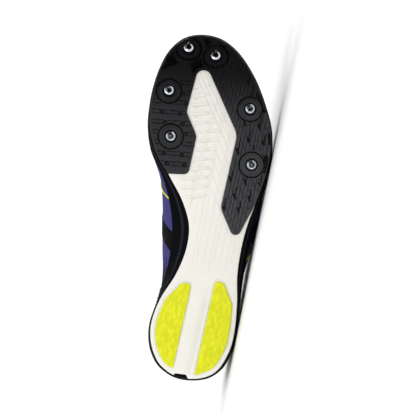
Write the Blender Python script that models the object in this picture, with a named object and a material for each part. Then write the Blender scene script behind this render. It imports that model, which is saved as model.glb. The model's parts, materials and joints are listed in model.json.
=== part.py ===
"""Left cross country spike, lying on its lateral side.

The shoe is modelled upright in its own frame, in millimetres: along runs from the heel to the toe,
across from the medial side (minus) to the lateral side (plus), and up from the tread to the collar.
One empty then carries every piece on to its side, with the sole's edge and the upper both on the floor.
"""

import math

import bmesh
import bpy
from mathutils import Matrix, Vector

MM = 0.001

# Driving dimensions, in millimetres
SHOE_LENGTH = 282.0
GAP = 0.3
PLATE_THICKNESS = 1.3
TREAD_PROUD = 1.6
BASE_THICKNESS = 3.4
TREAD_HEEL_INSET = 2.1
TREAD_TOE_INSET = 0.8
BASE_CHAMFER = 0.8
LEDGE_INSET = 3.2
FOOTBED_INSET = 5.6
TOE_DISH = 0.8
DISH_PER_WALL = 0.35
UPPER_WALL = 1.6
COLLAR_WALL = 4.6
FEATHER_INSET = 1.4
INSOLE_THICKNESS = 2.6
OVERLAY_THICKNESS = 0.8
TONGUE_THICKNESS = 2.6

# How the shoe lies: the sole leans back from upright, and the toe lifts along the straight lateral edge
SIDE_LEAN = math.radians(2.1)
SIDE_TURN = math.radians(9.5)

# Points between two rows of the tables below, and points up one rib of the upper
ROW_STEPS = 2
RIB_STEPS = 8

SOLE_COLUMNS = ("along", "tread_medial", "tread_lateral", "rand_medial", "rand_lateral", "ground", "wall")
SOLE_ROWS = (
    (0.0, -0.4, -0.4, -0.4, -0.4, 3.2, 19.5),
    (1.5, -10.8, 10.6, -11.9, 11.7, 2.9, 19.5),
    (6.0, -19.8, 19.2, -21.0, 20.4, 2.1, 19.5),
    (14.0, -27.6, 25.6, -29.5, 27.9, 0.8, 19.3),
    (28.0, -33.1, 31.7, -35.2, 33.7, 0.0, 19.0),
    (45.0, -33.5, 34.5, -35.6, 36.5, 0.0, 18.6),
    (65.0, -26.8, 35.4, -29.6, 38.2, 0.0, 18.0),
    (85.0, -15.0, 34.9, -24.2, 40.3, 0.0, 17.2),
    (105.0, -7.4, 37.0, -20.6, 43.6, 1.2, 15.8),
    (125.0, -5.4, 41.2, -19.8, 47.4, 2.0, 14.4),
    (145.0, -11.2, 47.8, -22.6, 52.0, 1.4, 13.0),
    (165.0, -22.4, 54.4, -28.6, 57.1, 0.0, 11.8),
    (185.0, -34.0, 58.4, -38.2, 60.3, 0.0, 10.6),
    (205.0, -39.4, 58.4, -41.6, 59.4, 0.5, 9.8),
    (225.0, -39.3, 53.0, -40.3, 54.0, 2.8, 9.2),
    (245.0, -35.2, 45.0, -36.1, 45.9, 7.4, 8.8),
    (262.0, -28.8, 34.8, -29.6, 35.6, 13.9, 8.5),
    (273.0, -21.0, 24.8, -21.8, 25.6, 19.2, 8.3),
    (279.8, -11.4, 13.8, -12.0, 14.4, 22.8, 8.2),
    (282.0, 0.8, 0.8, 0.8, 0.8, 24.0, 8.2),
)

# One rib of the upper a row: it rises from the rand, bulges, and ends on the collar or the throat
RIB_COLUMNS = (
    "top_along", "top_medial", "top_lateral", "top_height",
    "bulge_medial", "bulge_lateral", "rise", "reach", "drop",
)
RIB_ROWS = (
    (5.0, -0.4, -0.4, 89.0, 1.0, 1.0, 26.0, 0.00, 26.0),
    (6.0, -7.5, 6.8, 88.0, 1.0, 1.0, 26.0, 0.05, 25.0),
    (9.3, -14.0, 13.2, 84.5, 0.6, 0.3, 25.0, 0.10, 24.0),
    (16.0, -21.0, 20.3, 78.5, 0.2, -0.8, 23.0, 0.20, 21.0),
    (29.0, -26.8, 26.6, 72.0, 0.0, -1.8, 20.0, 0.35, 18.0),
    (46.0, -28.3, 29.0, 68.5, 0.0, -1.9, 18.0, 0.50, 16.0),
    (65.0, -26.5, 29.5, 69.5, 0.8, -0.6, 18.0, 0.60, 15.0),
    (84.0, -22.0, 29.0, 76.0, 6.0, 3.0, 20.0, 0.65, 14.0),
    (101.0, -14.5, 26.5, 86.0, 14.5, 7.2, 22.0, 0.70, 10.0),
    (117.0, -9.5, 26.0, 82.5, 17.5, 8.8, 22.0, 0.70, 8.0),
    (133.0, -6.5, 26.0, 76.0, 15.0, 7.0, 21.0, 0.65, 6.5),
    (149.0, -4.4, 25.4, 69.0, 9.0, 3.4, 20.0, 0.60, 5.5),
    (164.0, -3.4, 24.0, 62.3, 3.6, 2.4, 18.0, 0.55, 5.0),
    (177.0, -2.6, 21.5, 56.8, 1.5, 1.5, 17.0, 0.50, 5.0),
    (186.0, -1.2, 18.0, 53.3, 1.0, 1.0, 16.0, 0.48, 5.0),
    (191.6, 0.8, 14.6, 51.4, 1.0, 1.0, 15.0, 0.46, 5.0),
    (194.8, 2.7, 11.6, 50.6, 1.0, 1.0, 14.0, 0.45, 5.0),
    (196.3, 4.3, 9.3, 50.2, 1.0, 1.0, 13.0, 0.45, 5.0),
    (196.9, 5.6, 7.7, 50.0, 1.0, 1.0, 12.5, 0.45, 5.0),
    (197.0, 6.6, 6.6, 50.0, 1.0, 1.0, 12.0, 0.45, 5.0),
)
LAST_ROW = len(SOLE_ROWS) - 1
RING_ROWS = 2 * LAST_ROW
TOE_WALL = SOLE_ROWS[LAST_ROW][SOLE_COLUMNS.index("wall")]

# The sole's side wall with its moulded bead: share of the way from tread to rand, and how far it stands out
WALL_STEPS = ((0.0, 0.0), (0.26, 0.1), (0.35, 1.0), (0.44, 0.1), (0.90, 0.1), (1.0, -0.6))

# The spike plate: corners of its two arms and of the window between them (along, across, radius)
PLATE_CORNERS = (
    (114.1, 32.1, 4.4),
    (141.2, 19.6, 12.0),
    (201.0, 31.2, 15.0),
    (265.3, 0.7, 6.2),
    (218.3, -10.2, 8.0),
    (198.9, -1.5, 7.0),
    (167.6, -7.4, 4.5),
)
PLATE_COVERS_FROM = (10.0, 13.0)
PLATE_LATERAL_TURN = 9.95
PLATE_MEDIAL_TURN = RING_ROWS - 11.12
PLATE_ROWS = (9, LAST_ROW)

# The spikes: where each stands on the plate (name, along, across)
PIN_PLACES = (
    ("toe_medial", 269.8, -10.2),
    ("toe_lateral", 264.1, 11.9),
    ("middle_medial", 234.9, -25.0),
    ("middle_lateral", 222.0, 41.1),
    ("rear_medial", 198.1, -22.4),
    ("rear_lateral", 177.0, 43.7),
)
BOSS_PROFILE = ((10.6, -0.9), (10.2, 1.3), (9.4, 1.7), (5.0, 1.7), (4.6, 1.0), (0.0, 1.0))
PIN_PROFILE = ((0.0, 1.3), (3.9, 1.3), (3.9, 2.2), (3.1, 3.0), (2.1, 3.4), (0.5, 11.0), (0.0, 11.2))
PIN_SIDES = 12
BOSS_SIDES = 16

# The heel pads: a straight inner edge beside the centre groove, and an outer edge set in from the tread's
PAD_INSET = 4.1
PAD_ROWS = (1, 5)
LATERAL_PAD_CORNERS = ((4.9, 2.5, 1.2), (83.2, 17.4, 3.2), (80.0, 24.4, 3.0))
LATERAL_PAD_TURNS = (5.85, 1.05)
MEDIAL_PAD_CORNERS = ((8.4, -15.4, 1.2), (80.4, -1.8, 3.6), (79.4, -10.2, 5.0))
MEDIAL_PAD_TURNS = (RING_ROWS - 6.1, RING_ROWS - 1.9)
HEEL_NOTCH = ((-4.0, -23.9), (6.4, -13.0), (5.6, -4.3), (-4.0, 0.8))

# The padded collar: shares of a rib where padding starts, is full and thins again, and where along it ends
COLLAR_SHARES = (0.62, 0.86, 0.93)
COLLAR_ENDS = (84.0, 104.0)

# The heel counter: how many rows round it reaches, and its height as a share of a rib at the heel
COUNTER_TURNS = 6.5
COUNTER_SHARE = 0.56
COUNTER_LOW_SHARE = 0.03
COUNTER_TAPER = 0.72

# The eyestay and its eyelets, in rows from the heel
EYESTAY_TURN = 8
EYESTAY_WIDTH = 15.0
EYESTAY_EDGE = 0.6
EYELET_TURNS = (8.35, 9.2, 10.05, 10.9, 11.75, 12.6)
EYELET_FROM_EDGE = 7.0
EYELET_RADIUS = 2.2
EYELET_SIDES = 8

# The tongue, from under the front of the throat to its tip above the collar (shift of each ring, width)
THROAT_TURN = 16.6
COLLAR_TURN = 8.3
TONGUE_SHARES = (0.86, 0.93, 1.0)
TONGUE_CROWN = 2.4
TONGUE_NECK = 0.72
TONGUE_NECK_TURNS = 1.6
TONGUE_TIP = (((-7.0, -0.8, 8.0), 1.0), ((-12.0, -1.4, 15.0), 0.92), ((-14.0, -1.7, 18.5), 0.66))

# The flat lace, and the distances from the throat's edge that it passes on each side
LACE_WIDTH = 5.6
LACE_THICKNESS = 1.1
LACE_LIFT = 1.4
LACE_STACK = 0.07
LACE_CROWN = 3.0
LACE_STOPS = (EYELET_FROM_EDGE, 1.0)


# Reading the tables

def around(medial, lateral):
    """Two columns as one ring: from the heel up the lateral side to the toe, and down the medial side."""
    return tuple(lateral) + tuple(medial[-2:0:-1])


def make_rings():
    """Every column as a ring of values. A column with a medial and a lateral half is one ring."""
    columns = {}
    for names, rows in ((SOLE_COLUMNS, SOLE_ROWS), (RIB_COLUMNS, RIB_ROWS)):
        columns.update({name: [row[k] for row in rows] for k, name in enumerate(names)})
    rings = {}
    for name, values in columns.items():
        if name.endswith("_medial"):
            stem = name[: -len("_medial")]
            rings[stem] = around(values, columns[stem + "_lateral"])
        elif not name.endswith("_lateral"):
            rings[name] = around(values, values)
    return rings


RINGS = make_rings()


def read(name, turn):
    """A ring's value at turn, counted in rows round the shoe, on a closed smooth curve through the rows."""
    values = RINGS[name]
    row = math.floor(turn)
    part = turn - row
    before, here, after, beyond = (values[(row + k) % RING_ROWS] for k in (-1, 0, 1, 2))
    bend = 2 * before - 5 * here + 4 * after - beyond
    swing = 3 * (here - after) + beyond - before
    return here + 0.5 * part * (after - before + part * (bend + part * swing))


def turn_at(along):
    """The turn on the lateral side where the rand reaches along."""
    low, high = 0.0, float(LAST_ROW)
    for _ in range(30):
        middle = (low + high) / 2
        if read("along", middle) < along:
            low = middle
        else:
            high = middle
    return low


def ground_at(along):
    """Height of the tread's underside: flat under heel and ball, raised at the arch, sprung at the toe."""
    return max(0.0, read("ground", turn_at(along)))


def outline(kind, turn, inset=0.0):
    """A point (along, across) of the tread's or the rand's outline, set in by inset."""
    points = []
    for nearby in (turn - 0.02, turn, turn + 0.02):
        along = read("along", nearby)
        if kind == "tread":
            along = TREAD_HEEL_INSET + along * (1 - (TREAD_HEEL_INSET + TREAD_TOE_INSET) / SHOE_LENGTH)
        points.append(Vector((along, read(kind, nearby))))
    run = (points[2] - points[0]).normalized()
    return points[1] + inset * Vector((run.y, -run.x))


def rand_height(along):
    return ground_at(along) + read("wall", turn_at(along))


def smooth(low, high, value):
    """0 below low, 1 above high, and a smooth step between them."""
    part = min(1.0, max(0.0, (value - low) / (high - low)))
    return part * part * (3 - 2 * part)


# The upper's own surface

def rib_point(turn, share):
    """A point of the upper's outer face, share of the way up the rib from the rand to the top line."""
    foot = outline("rand", turn, FEATHER_INSET)
    outward = (outline("rand", turn) - foot).normalized()
    top = Vector((read("top_along", turn), read("top", turn)))
    foot_height = rand_height(foot.x) + GAP
    top_height = read("top_height", turn)
    bulge = read("bulge", turn)
    side = foot + outward * bulge
    shoulder = top + (foot - top) * read("reach", turn) + outward * bulge / 2
    curve = (
        foot.to_3d() + Vector((0, 0, foot_height)),
        side.to_3d() + Vector((0, 0, foot_height + read("rise", turn))),
        shoulder.to_3d() + Vector((0, 0, top_height - read("drop", turn))),
        top.to_3d() + Vector((0, 0, top_height)),
    )
    rest = 1 - share
    weights = (rest**3, 3 * rest**2 * share, 3 * rest * share**2, share**3)
    return sum((weight * point for weight, point in zip(weights, curve)), Vector((0, 0, 0)))


def rib_normal(turn, share):
    step = 0.01
    low, high = max(0.0, share - step), min(1.0, share + step)
    up = rib_point(turn, high) - rib_point(turn, low)
    run = rib_point(turn + step, share) - rib_point(turn - step, share)
    return up.cross(run).normalized()


def upper_at(turn, share, out):
    """A point that stands out from the upper's outer face, or lies inside it where out is negative."""
    return rib_point(turn, share) + out * rib_normal(turn, share)


def wall_at(turn, share):
    """Thickness of the upper: thin all over, padded under the collar and thinned again at its edge."""
    start, full, edge = COLLAR_SHARES
    collar = 1 - smooth(*COLLAR_ENDS, read("top_along", turn))
    padding = smooth(start, full, share) * (1 - 0.55 * smooth(edge, 1.0, share))
    return UPPER_WALL + (COLLAR_WALL - UPPER_WALL) * collar * padding


def rib_length(turn):
    points = [rib_point(turn, k / RIB_STEPS) for k in range(RIB_STEPS + 1)]
    return sum((b - a).length for a, b in zip(points, points[1:]))


def share_from_edge(turn, distance):
    """The share of a rib that lies distance below its top edge."""
    return 1 - distance / rib_length(turn)


# Making solids

def colour(name, rgb, roughness, metallic=0.0):
    material = bpy.data.materials.new(name)
    material.diffuse_color = (*rgb, 1.0)
    material.use_nodes = True
    shader = material.node_tree.nodes["Principled BSDF"]
    shader.inputs["Base Color"].default_value = (*rgb, 1.0)
    shader.inputs["Roughness"].default_value = roughness
    shader.inputs["Metallic"].default_value = metallic
    return material


def add_object(name, bm, material, shoe, smooth_angle=40):
    """Turns millimetres into metres, closes the seams, and hangs the piece on the shoe's empty."""
    bmesh.ops.remove_doubles(bm, verts=bm.verts, dist=1e-4)
    bmesh.ops.recalc_face_normals(bm, faces=bm.faces)
    bmesh.ops.scale(bm, vec=(MM, MM, MM), verts=bm.verts)
    mesh = bpy.data.meshes.new(name)
    bm.to_mesh(mesh)
    bm.free()
    mesh.shade_smooth()
    mesh.set_sharp_from_angle(angle=math.radians(smooth_angle))
    mesh.materials.append(material)
    obj = bpy.data.objects.new(name, mesh)
    bpy.context.scene.collection.objects.link(obj)
    obj.parent = shoe
    return obj


def loft(rings, closed=False, capped=False):
    """A skin over rings of equally many points. It ends in a line, in caps, or meets itself."""
    bm = bmesh.new()
    rows = [[bm.verts.new(point) for point in ring] for ring in rings]
    pairs = list(zip(rows, rows[1:]))
    if closed:
        pairs.append((rows[-1], rows[0]))
    count = len(rows[0])
    for ring, following in pairs:
        for k in range(count):
            other = (k + 1) % count
            bm.faces.new((ring[k], ring[other], following[other], following[k]))
    if capped:
        bm.faces.new(rows[0])
        bm.faces.new(rows[-1])
    return bm


def lathe(profile, sides, place):
    """A turned solid about +Z from (radius, height) pairs, carried to its place by a matrix."""
    bm = bmesh.new()
    turned = [(r, h) for r, h in profile if r > 0]
    rings = []
    for radius, height in turned:
        angles = [math.tau * k / sides for k in range(sides)]
        rings.append([bm.verts.new((radius * math.cos(a), radius * math.sin(a), height)) for a in angles])
    for ring, following in zip(rings, rings[1:]):
        for k in range(sides):
            other = (k + 1) % sides
            bm.faces.new((ring[k], ring[other], following[other], following[k]))
    for ring, (radius, height) in ((rings[0], profile[0]), (rings[-1], profile[-1])):
        if radius > 0:
            bm.faces.new(ring)
            continue
        tip = bm.verts.new((0, 0, height))
        for k in range(sides):
            bm.faces.new((ring[k], ring[(k + 1) % sides], tip))
    bmesh.ops.transform(bm, matrix=place, verts=bm.verts)
    return bm


def rounded(corners, arc_steps=4):
    """A chain of (along, across) points through corners (along, across, radius), each corner an arc."""
    chain = []
    count = len(corners)
    for k, (along, across, radius) in enumerate(corners):
        corner = Vector((along, across))
        if radius == 0:
            chain.append(corner)
            continue
        to_last = (Vector(corners[k - 1][:2]) - corner).normalized()
        to_next = (Vector(corners[(k + 1) % count][:2]) - corner).normalized()
        half = to_last.angle(to_next) / 2
        centre = corner + (to_last + to_next).normalized() * radius / math.sin(half)
        first = corner + to_last * radius / math.tan(half) - centre
        sweep = first.angle_signed(corner + to_next * radius / math.tan(half) - centre)
        for step in range(arc_steps + 1):
            turned = first.copy()
            turned.rotate(Matrix.Rotation(-sweep * step / arc_steps, 2))
            chain.append(centre + turned)
    return chain


def sheet(points, rows, low, high):
    """A sheet with this outline, cut at rows and bent to the tread: from low to high above the ground."""
    bm = bmesh.new()
    face = bm.faces.new([bm.verts.new((p.x, p.y, 0)) for p in points])
    face.normal_update()
    for row in range(rows[0] * ROW_STEPS, rows[1] * ROW_STEPS):
        along = outline("tread", row / ROW_STEPS).x
        everything = bm.verts[:] + bm.edges[:] + bm.faces[:]
        bmesh.ops.bisect_plane(bm, geom=everything, plane_co=(along, 0, 0), plane_no=(1, 0, 0), dist=1e-4)
    made = bmesh.ops.extrude_face_region(bm, geom=bm.faces[:])
    raised = [item for item in made["geom"] if isinstance(item, bmesh.types.BMVert)]
    for vert in bm.verts:
        vert.co.z = ground_at(vert.co.x) + low
    for vert in raised:
        vert.co.z += high - low
    return bm


def boolean(obj, other, operation):
    """Joins or cuts obj with a hidden helper."""
    other.hide_render = True
    other.display_type = "WIRE"
    modifier = obj.modifiers.new(other.name, "BOOLEAN")
    modifier.operation = operation
    modifier.object = other


# The sole

def sole_turns():
    """Pairs of turns, lateral and medial, from the heel to the toe."""
    steps = LAST_ROW * ROW_STEPS
    return [(k / ROW_STEPS, RING_ROWS - k / ROW_STEPS) for k in range(steps + 1)]


def across(lateral, medial, count):
    """Points from the lateral one to the medial one, both included."""
    return [lateral.lerp(medial, k / count) for k in range(count + 1)]


def raised(point, height):
    return Vector((point.x, point.y, height))


def base_section(lateral, medial):
    """One closed section of the pale base: a chamfered underside, two edges and a flat top."""
    side = TREAD_PROUD + BASE_CHAMFER
    top = TREAD_PROUD + BASE_THICKNESS
    ring = []
    for turns, inset, height in (
        ((lateral, medial), BASE_CHAMFER, TREAD_PROUD),
        ((medial,), 0.0, side),
        ((medial, lateral), 0.0, top),
        ((lateral,), 0.0, side),
    ):
        covered = [smooth(*PLATE_COVERS_FROM, min(turn, RING_ROWS - turn)) for turn in turns]
        flat = [outline("tread", turn, inset + back) for turn, back in zip(turns, covered)]
        if len(flat) == 2:
            flat = across(*flat, 2)
        ring += [raised(point, ground_at(point.x) + height) for point in flat]
    return ring


def midsole_section(lateral, medial):
    """One closed section of the midsole: beaded walls, a ledge for the upper and a dished footbed."""
    bottom = TREAD_PROUD + BASE_THICKNESS + GAP

    def wall(turn):
        tread = outline("tread", turn, 0.4)
        rand = outline("rand", turn)
        outward = (rand - outline("rand", turn, 1.0)).normalized()
        points = []
        for share, out in WALL_STEPS:
            point = tread.lerp(rand, share) + outward * out
            low = ground_at(point.x) + bottom
            points.append(raised(point, low + (rand_height(point.x) - low) * share))
        ledge = outline("rand", turn, LEDGE_INSET)
        bed = outline("rand", turn, FOOTBED_INSET)
        points.append(raised(ledge, rand_height(ledge.x)))
        points.append(raised(bed, footbed_height(bed.x)))
        return points

    side, other = wall(lateral), wall(medial)
    under = across(side[0], other[0], 4)[1:-1]
    bed = across(other[-1], side[-1], 4)[1:-1]
    return under + other + bed + side[::-1]


def footbed_height(along):
    """Height of the midsole's dished top, deepest at the heel."""
    wall = read("wall", turn_at(along))
    return rand_height(along) - TOE_DISH - DISH_PER_WALL * (wall - TOE_WALL)


def insole_section(lateral, medial):
    """One closed section of the insole that lies in the footbed."""
    low = [outline("rand", turn, FOOTBED_INSET + 0.5) for turn in (lateral, medial)]
    high = [outline("rand", turn, FOOTBED_INSET - 0.6) for turn in (medial, lateral)]
    ring = [raised(point, footbed_height(point.x) + GAP) for point in across(*low, 2)]
    top = GAP + INSOLE_THICKNESS
    return ring + [raised(point, footbed_height(point.x) + top) for point in across(*high, 2)]


def plate_outline():
    """Round the toe on the tread's own edge, then round the two arms and the window between them."""
    steps = ROW_STEPS * (math.ceil(PLATE_MEDIAL_TURN) - math.floor(PLATE_LATERAL_TURN))
    swing = (PLATE_LATERAL_TURN - PLATE_MEDIAL_TURN) / steps
    edge = [outline("tread", PLATE_MEDIAL_TURN + swing * k) for k in range(steps + 1)]
    return rounded([*((p.x, p.y, 0.0) for p in edge), *PLATE_CORNERS])


def on_tread(along, over):
    """A matrix that stands +Z straight out of the tread at a point (along, over)."""
    slope = (ground_at(along + 0.5) - ground_at(along - 0.5))
    out = Vector((slope, 0, -1)).normalized()
    turn = out.to_track_quat("Z", "Y").to_matrix().to_4x4()
    return Matrix.Translation((along, over, ground_at(along))) @ turn


# The upper, and what is cut from its surface

def upper_ring(turn):
    """One closed rib of the upper: up the outer face, over the top edge and down the lining."""
    shares = [k / RIB_STEPS for k in range(RIB_STEPS + 1)]
    outer = [upper_at(turn, share, 0) for share in shares]
    inner = [upper_at(turn, share, -wall_at(turn, share)) for share in shares]
    inner[0].z = outer[0].z
    return outer + inner[::-1]


def overlay_ring(turn, low, high, steps):
    """One closed section of an overlay that lies on the upper between two shares of a rib."""
    shares = [low + (high - low) * k / steps for k in range(steps + 1)]
    outer = [upper_at(turn, share, GAP + OVERLAY_THICKNESS) for share in shares]
    inner = [upper_at(turn, share, GAP) for share in shares]
    return outer + inner[::-1]


def counter_rings():
    """A cup round the heel that is tall at the back and tapers along both sides."""
    rings = []
    for k in range(round(2 * COUNTER_TURNS * ROW_STEPS) + 1):
        turn = k / ROW_STEPS - COUNTER_TURNS
        high = COUNTER_SHARE * (1 - COUNTER_TAPER * smooth(0.2, 1.0, abs(turn) / COUNTER_TURNS))
        rings.append(overlay_ring(turn, COUNTER_LOW_SHARE, high, 3))
    return rings


def eyestay_rings():
    """A band along the throat's edge, from one top eyelet round the front to the other."""
    rings = []
    for k in range((RING_ROWS - 2 * EYESTAY_TURN) * ROW_STEPS + 1):
        turn = EYESTAY_TURN + k / ROW_STEPS
        low, high = share_from_edge(turn, EYESTAY_WIDTH), share_from_edge(turn, EYESTAY_EDGE)
        rings.append(overlay_ring(turn, low, high, 2))
    return rings


def tongue_ring(row):
    """One closed section of the tongue: two wings under the throat's edges and a crown between them."""
    top, normals = [], []
    for turn, shares in ((row, TONGUE_SHARES), (RING_ROWS - row, TONGUE_SHARES[::-1])):
        for share in shares:
            top.append(upper_at(turn, share, -wall_at(turn, share) - 2 * GAP))
            normals.append(rib_normal(turn, share))
    crown_normal = (normals[2] + normals[3]).normalized()
    top.insert(3, (top[2] + top[3]) / 2 + crown_normal * TONGUE_CROWN)
    normals.insert(3, crown_normal)
    bottom = [point - normal * TONGUE_THICKNESS for point, normal in zip(top, normals)]
    return top + bottom[::-1]


def tongue_rings():
    """From under the front of the throat to the collar, where it narrows and rises to a rounded tip."""
    steps = 18
    rings = []
    for k in range(steps + 1):
        row = THROAT_TURN + (COLLAR_TURN - THROAT_TURN) * k / steps
        wide = smooth(COLLAR_TURN, COLLAR_TURN + TONGUE_NECK_TURNS, row)
        width = TONGUE_NECK + (1 - TONGUE_NECK) * wide
        rings.append(about_middle(tongue_ring(row), width))
    last = rings[-1]
    for shift, width in TONGUE_TIP:
        rings.append([point + Vector(shift) for point in about_middle(last, width)])
    return rings


def about_middle(ring, scale):
    middle = sum(ring, Vector((0, 0, 0))) / len(ring)
    return [middle + (point - middle) * scale for point in ring]


def lace_way(start_turn, end_turn, stack):
    """Points and normals of a lace from its eyelet, over the tongue, to the eyelet across the throat."""
    lift = GAP + OVERLAY_THICKNESS + LACE_LIFT + stack
    way = []
    for turn, distances in ((start_turn, LACE_STOPS), (end_turn, LACE_STOPS[::-1])):
        for distance in distances:
            share = share_from_edge(turn, distance - stack)
            way.append((upper_at(turn, share, lift), rib_normal(turn, share)))
    middle = len(LACE_STOPS)
    crown = (way[middle - 1][1] + way[middle][1]).normalized()
    way.insert(middle, ((way[middle - 1][0] + way[middle][0]) / 2 + crown * LACE_CROWN, crown))
    return way


def lace_strip(start_turn, end_turn, place):
    """A flat lace between two eyelets. Each later one lies a little higher and pulls a little narrower."""
    stack = place * LACE_STACK
    way = lace_way(start_turn, end_turn, stack)
    rings = []
    for k, (point, normal) in enumerate(way):
        run = (way[min(k + 1, len(way) - 1)][0] - way[max(k - 1, 0)][0]).normalized()
        aside = run.cross(normal).normalized() * (LACE_WIDTH - stack) / 2
        up = aside.cross(run).normalized() * LACE_THICKNESS / 2
        rings.append([point + aside + up, point - aside + up, point - aside - up, point + aside - up])
    return loft(rings, capped=True)


# The pieces

def make_sole(shoe, paint):
    pairs = sole_turns()
    base = add_object("base_sole", loft([base_section(*pair) for pair in pairs]), paint["off_white"], shoe)
    add_object("midsole", loft([midsole_section(*pair) for pair in pairs]), paint["black_foam"], shoe)
    add_object("insole", loft([insole_section(*pair) for pair in pairs]), paint["lining"], shoe)

    notch = bmesh.new()
    face = notch.faces.new([notch.verts.new((along, over, -5.0)) for along, over in HEEL_NOTCH])
    made = bmesh.ops.extrude_face_region(notch, geom=[face])
    top = [item for item in made["geom"] if isinstance(item, bmesh.types.BMVert)]
    bmesh.ops.translate(notch, vec=(0, 0, 20.0), verts=top)
    boolean(base, add_object("heel_notch_cutter", notch, paint["off_white"], shoe), "DIFFERENCE")

    pads = (
        ("heel_pad_lateral", LATERAL_PAD_CORNERS, LATERAL_PAD_TURNS),
        ("heel_pad_medial", MEDIAL_PAD_CORNERS, MEDIAL_PAD_TURNS),
    )
    for name, corners, (first, last) in pads:
        steps = 10
        edge = [outline("tread", first + (last - first) * k / steps, PAD_INSET) for k in range(steps + 1)]
        chain = rounded([*corners, *((p.x, p.y, 0.0) for p in edge)])
        add_object(name, sheet(chain, PAD_ROWS, 0.0, PLATE_THICKNESS), paint["acid_yellow"], shoe)


def make_plate(shoe, paint):
    plate = add_object(
        "spike_plate", sheet(plate_outline(), PLATE_ROWS, 0.0, PLATE_THICKNESS), paint["black_plate"], shoe
    )
    for name, along, over in PIN_PLACES:
        place = on_tread(along, over)
        boss = add_object("boss_" + name, lathe(BOSS_PROFILE, BOSS_SIDES, place), paint["black_plate"], shoe)
        boolean(plate, boss, "UNION")
        add_object("spike_" + name, lathe(PIN_PROFILE, PIN_SIDES, place), paint["steel"], shoe)


def make_upper(shoe, paint):
    turns = [k / ROW_STEPS for k in range(RING_ROWS * ROW_STEPS)]
    wall = loft([upper_ring(turn) for turn in turns], closed=True)
    upper = add_object("upper", wall, paint["purple_mesh"], shoe)
    add_object("heel_counter", loft(counter_rings(), capped=True), paint["black_overlay"], shoe)
    stay = add_object("eyestay", loft(eyestay_rings(), capped=True), paint["black_overlay"], shoe)
    add_object("tongue", loft(tongue_rings(), capped=True), paint["lining"], shoe)

    for row in EYELET_TURNS:
        for side, turn in (("lateral", row), ("medial", RING_ROWS - row)):
            share = share_from_edge(turn, EYELET_FROM_EDGE)
            place = Matrix.Translation(rib_point(turn, share))
            place = place @ rib_normal(turn, share).to_track_quat("Z", "Y").to_matrix().to_4x4()
            drill = lathe(((EYELET_RADIUS, -5.0), (EYELET_RADIUS, 5.0)), EYELET_SIDES, place)
            cutter = add_object(f"eyelet_cutter_{side}_{row}", drill, paint["black_overlay"], shoe)
            boolean(upper, cutter, "DIFFERENCE")
            boolean(stay, cutter, "DIFFERENCE")


def make_lace(shoe, paint):
    """One joined solid: a bar across the lowest eyelets, and a crossing from each pair to the next."""
    rows = EYELET_TURNS[::-1]
    ways = [(rows[0], RING_ROWS - rows[0])]
    for row, following in zip(rows, rows[1:]):
        ways += [(row, RING_ROWS - following), (RING_ROWS - row, following)]
    lace = None
    for place, (start, end) in enumerate(ways):
        strip = lace_strip(start, end, place)
        if lace is None:
            lace = add_object("lace", strip, paint["lace"], shoe)
        else:
            boolean(lace, add_object(f"lace_strip_{place}", strip, paint["lace"], shoe), "UNION")


def lay_down():
    """The turn that lays the shoe on its lateral side: toe along +X, collar towards +Y, medial side up."""
    side = Matrix.Rotation(-math.pi / 2, 4, "X")
    lift = Matrix.Rotation(-SIDE_TURN, 4, "Y")
    lean = Matrix.Rotation(-SIDE_LEAN, 4, "X")
    return lean @ lift @ side


def stand_on_origin(shoe):
    """Moves the lying shoe so that the middle of its box's underside is the origin."""
    bpy.context.view_layer.update()
    depsgraph = bpy.context.evaluated_depsgraph_get()
    points = []
    for piece in shoe.children:
        if not piece.hide_render:
            made = piece.evaluated_get(depsgraph)
            points += [made.matrix_world @ vert.co for vert in made.data.vertices]
    low = [min(point[axis] for point in points) for axis in range(3)]
    high = [max(point[axis] for point in points) for axis in range(3)]
    shoe.location -= Vector(((low[0] + high[0]) / 2, (low[1] + high[1]) / 2, low[2]))


def main():
    for obj in list(bpy.data.objects):
        bpy.data.objects.remove(obj)
    paint = {
        "black_plate": colour("black_plate", (0.016, 0.016, 0.018), 0.38),
        "off_white": colour("off_white", (0.84, 0.82, 0.76), 0.55),
        "acid_yellow": colour("acid_yellow", (0.72, 0.78, 0.02), 0.45),
        "black_foam": colour("black_foam", (0.010, 0.010, 0.011), 0.35),
        "purple_mesh": colour("purple_mesh", (0.075, 0.065, 0.26), 0.75),
        "black_overlay": colour("black_overlay", (0.012, 0.012, 0.014), 0.5),
        "lining": colour("lining", (0.03, 0.03, 0.035), 0.85),
        "lace": colour("lace", (0.02, 0.02, 0.022), 0.8),
        "steel": colour("steel", (0.55, 0.56, 0.58), 0.25, 1.0),
    }
    shoe = bpy.data.objects.new("shoe", None)
    bpy.context.scene.collection.objects.link(shoe)
    make_sole(shoe, paint)
    make_plate(shoe, paint)
    make_upper(shoe, paint)
    make_lace(shoe, paint)
    shoe.matrix_world = lay_down()
    stand_on_origin(shoe)


main()
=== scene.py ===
"""Looks of a left cross country spike that lies on its lateral side, its sole towards the camera.

Every piece is modelled in the shoe's own frame, in millimetres: along runs from the heel to the toe, across
from the medial side (minus) to the lateral side (plus), and up from the tread to the collar. One matrix lays
it down. A turn counts table rows round the shoe: from the heel up the lateral side to the toe, and back down
the medial side.
"""

import json
import math

import bmesh
import bpy
import numpy as np
from mathutils import Matrix, Vector, geometry

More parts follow.
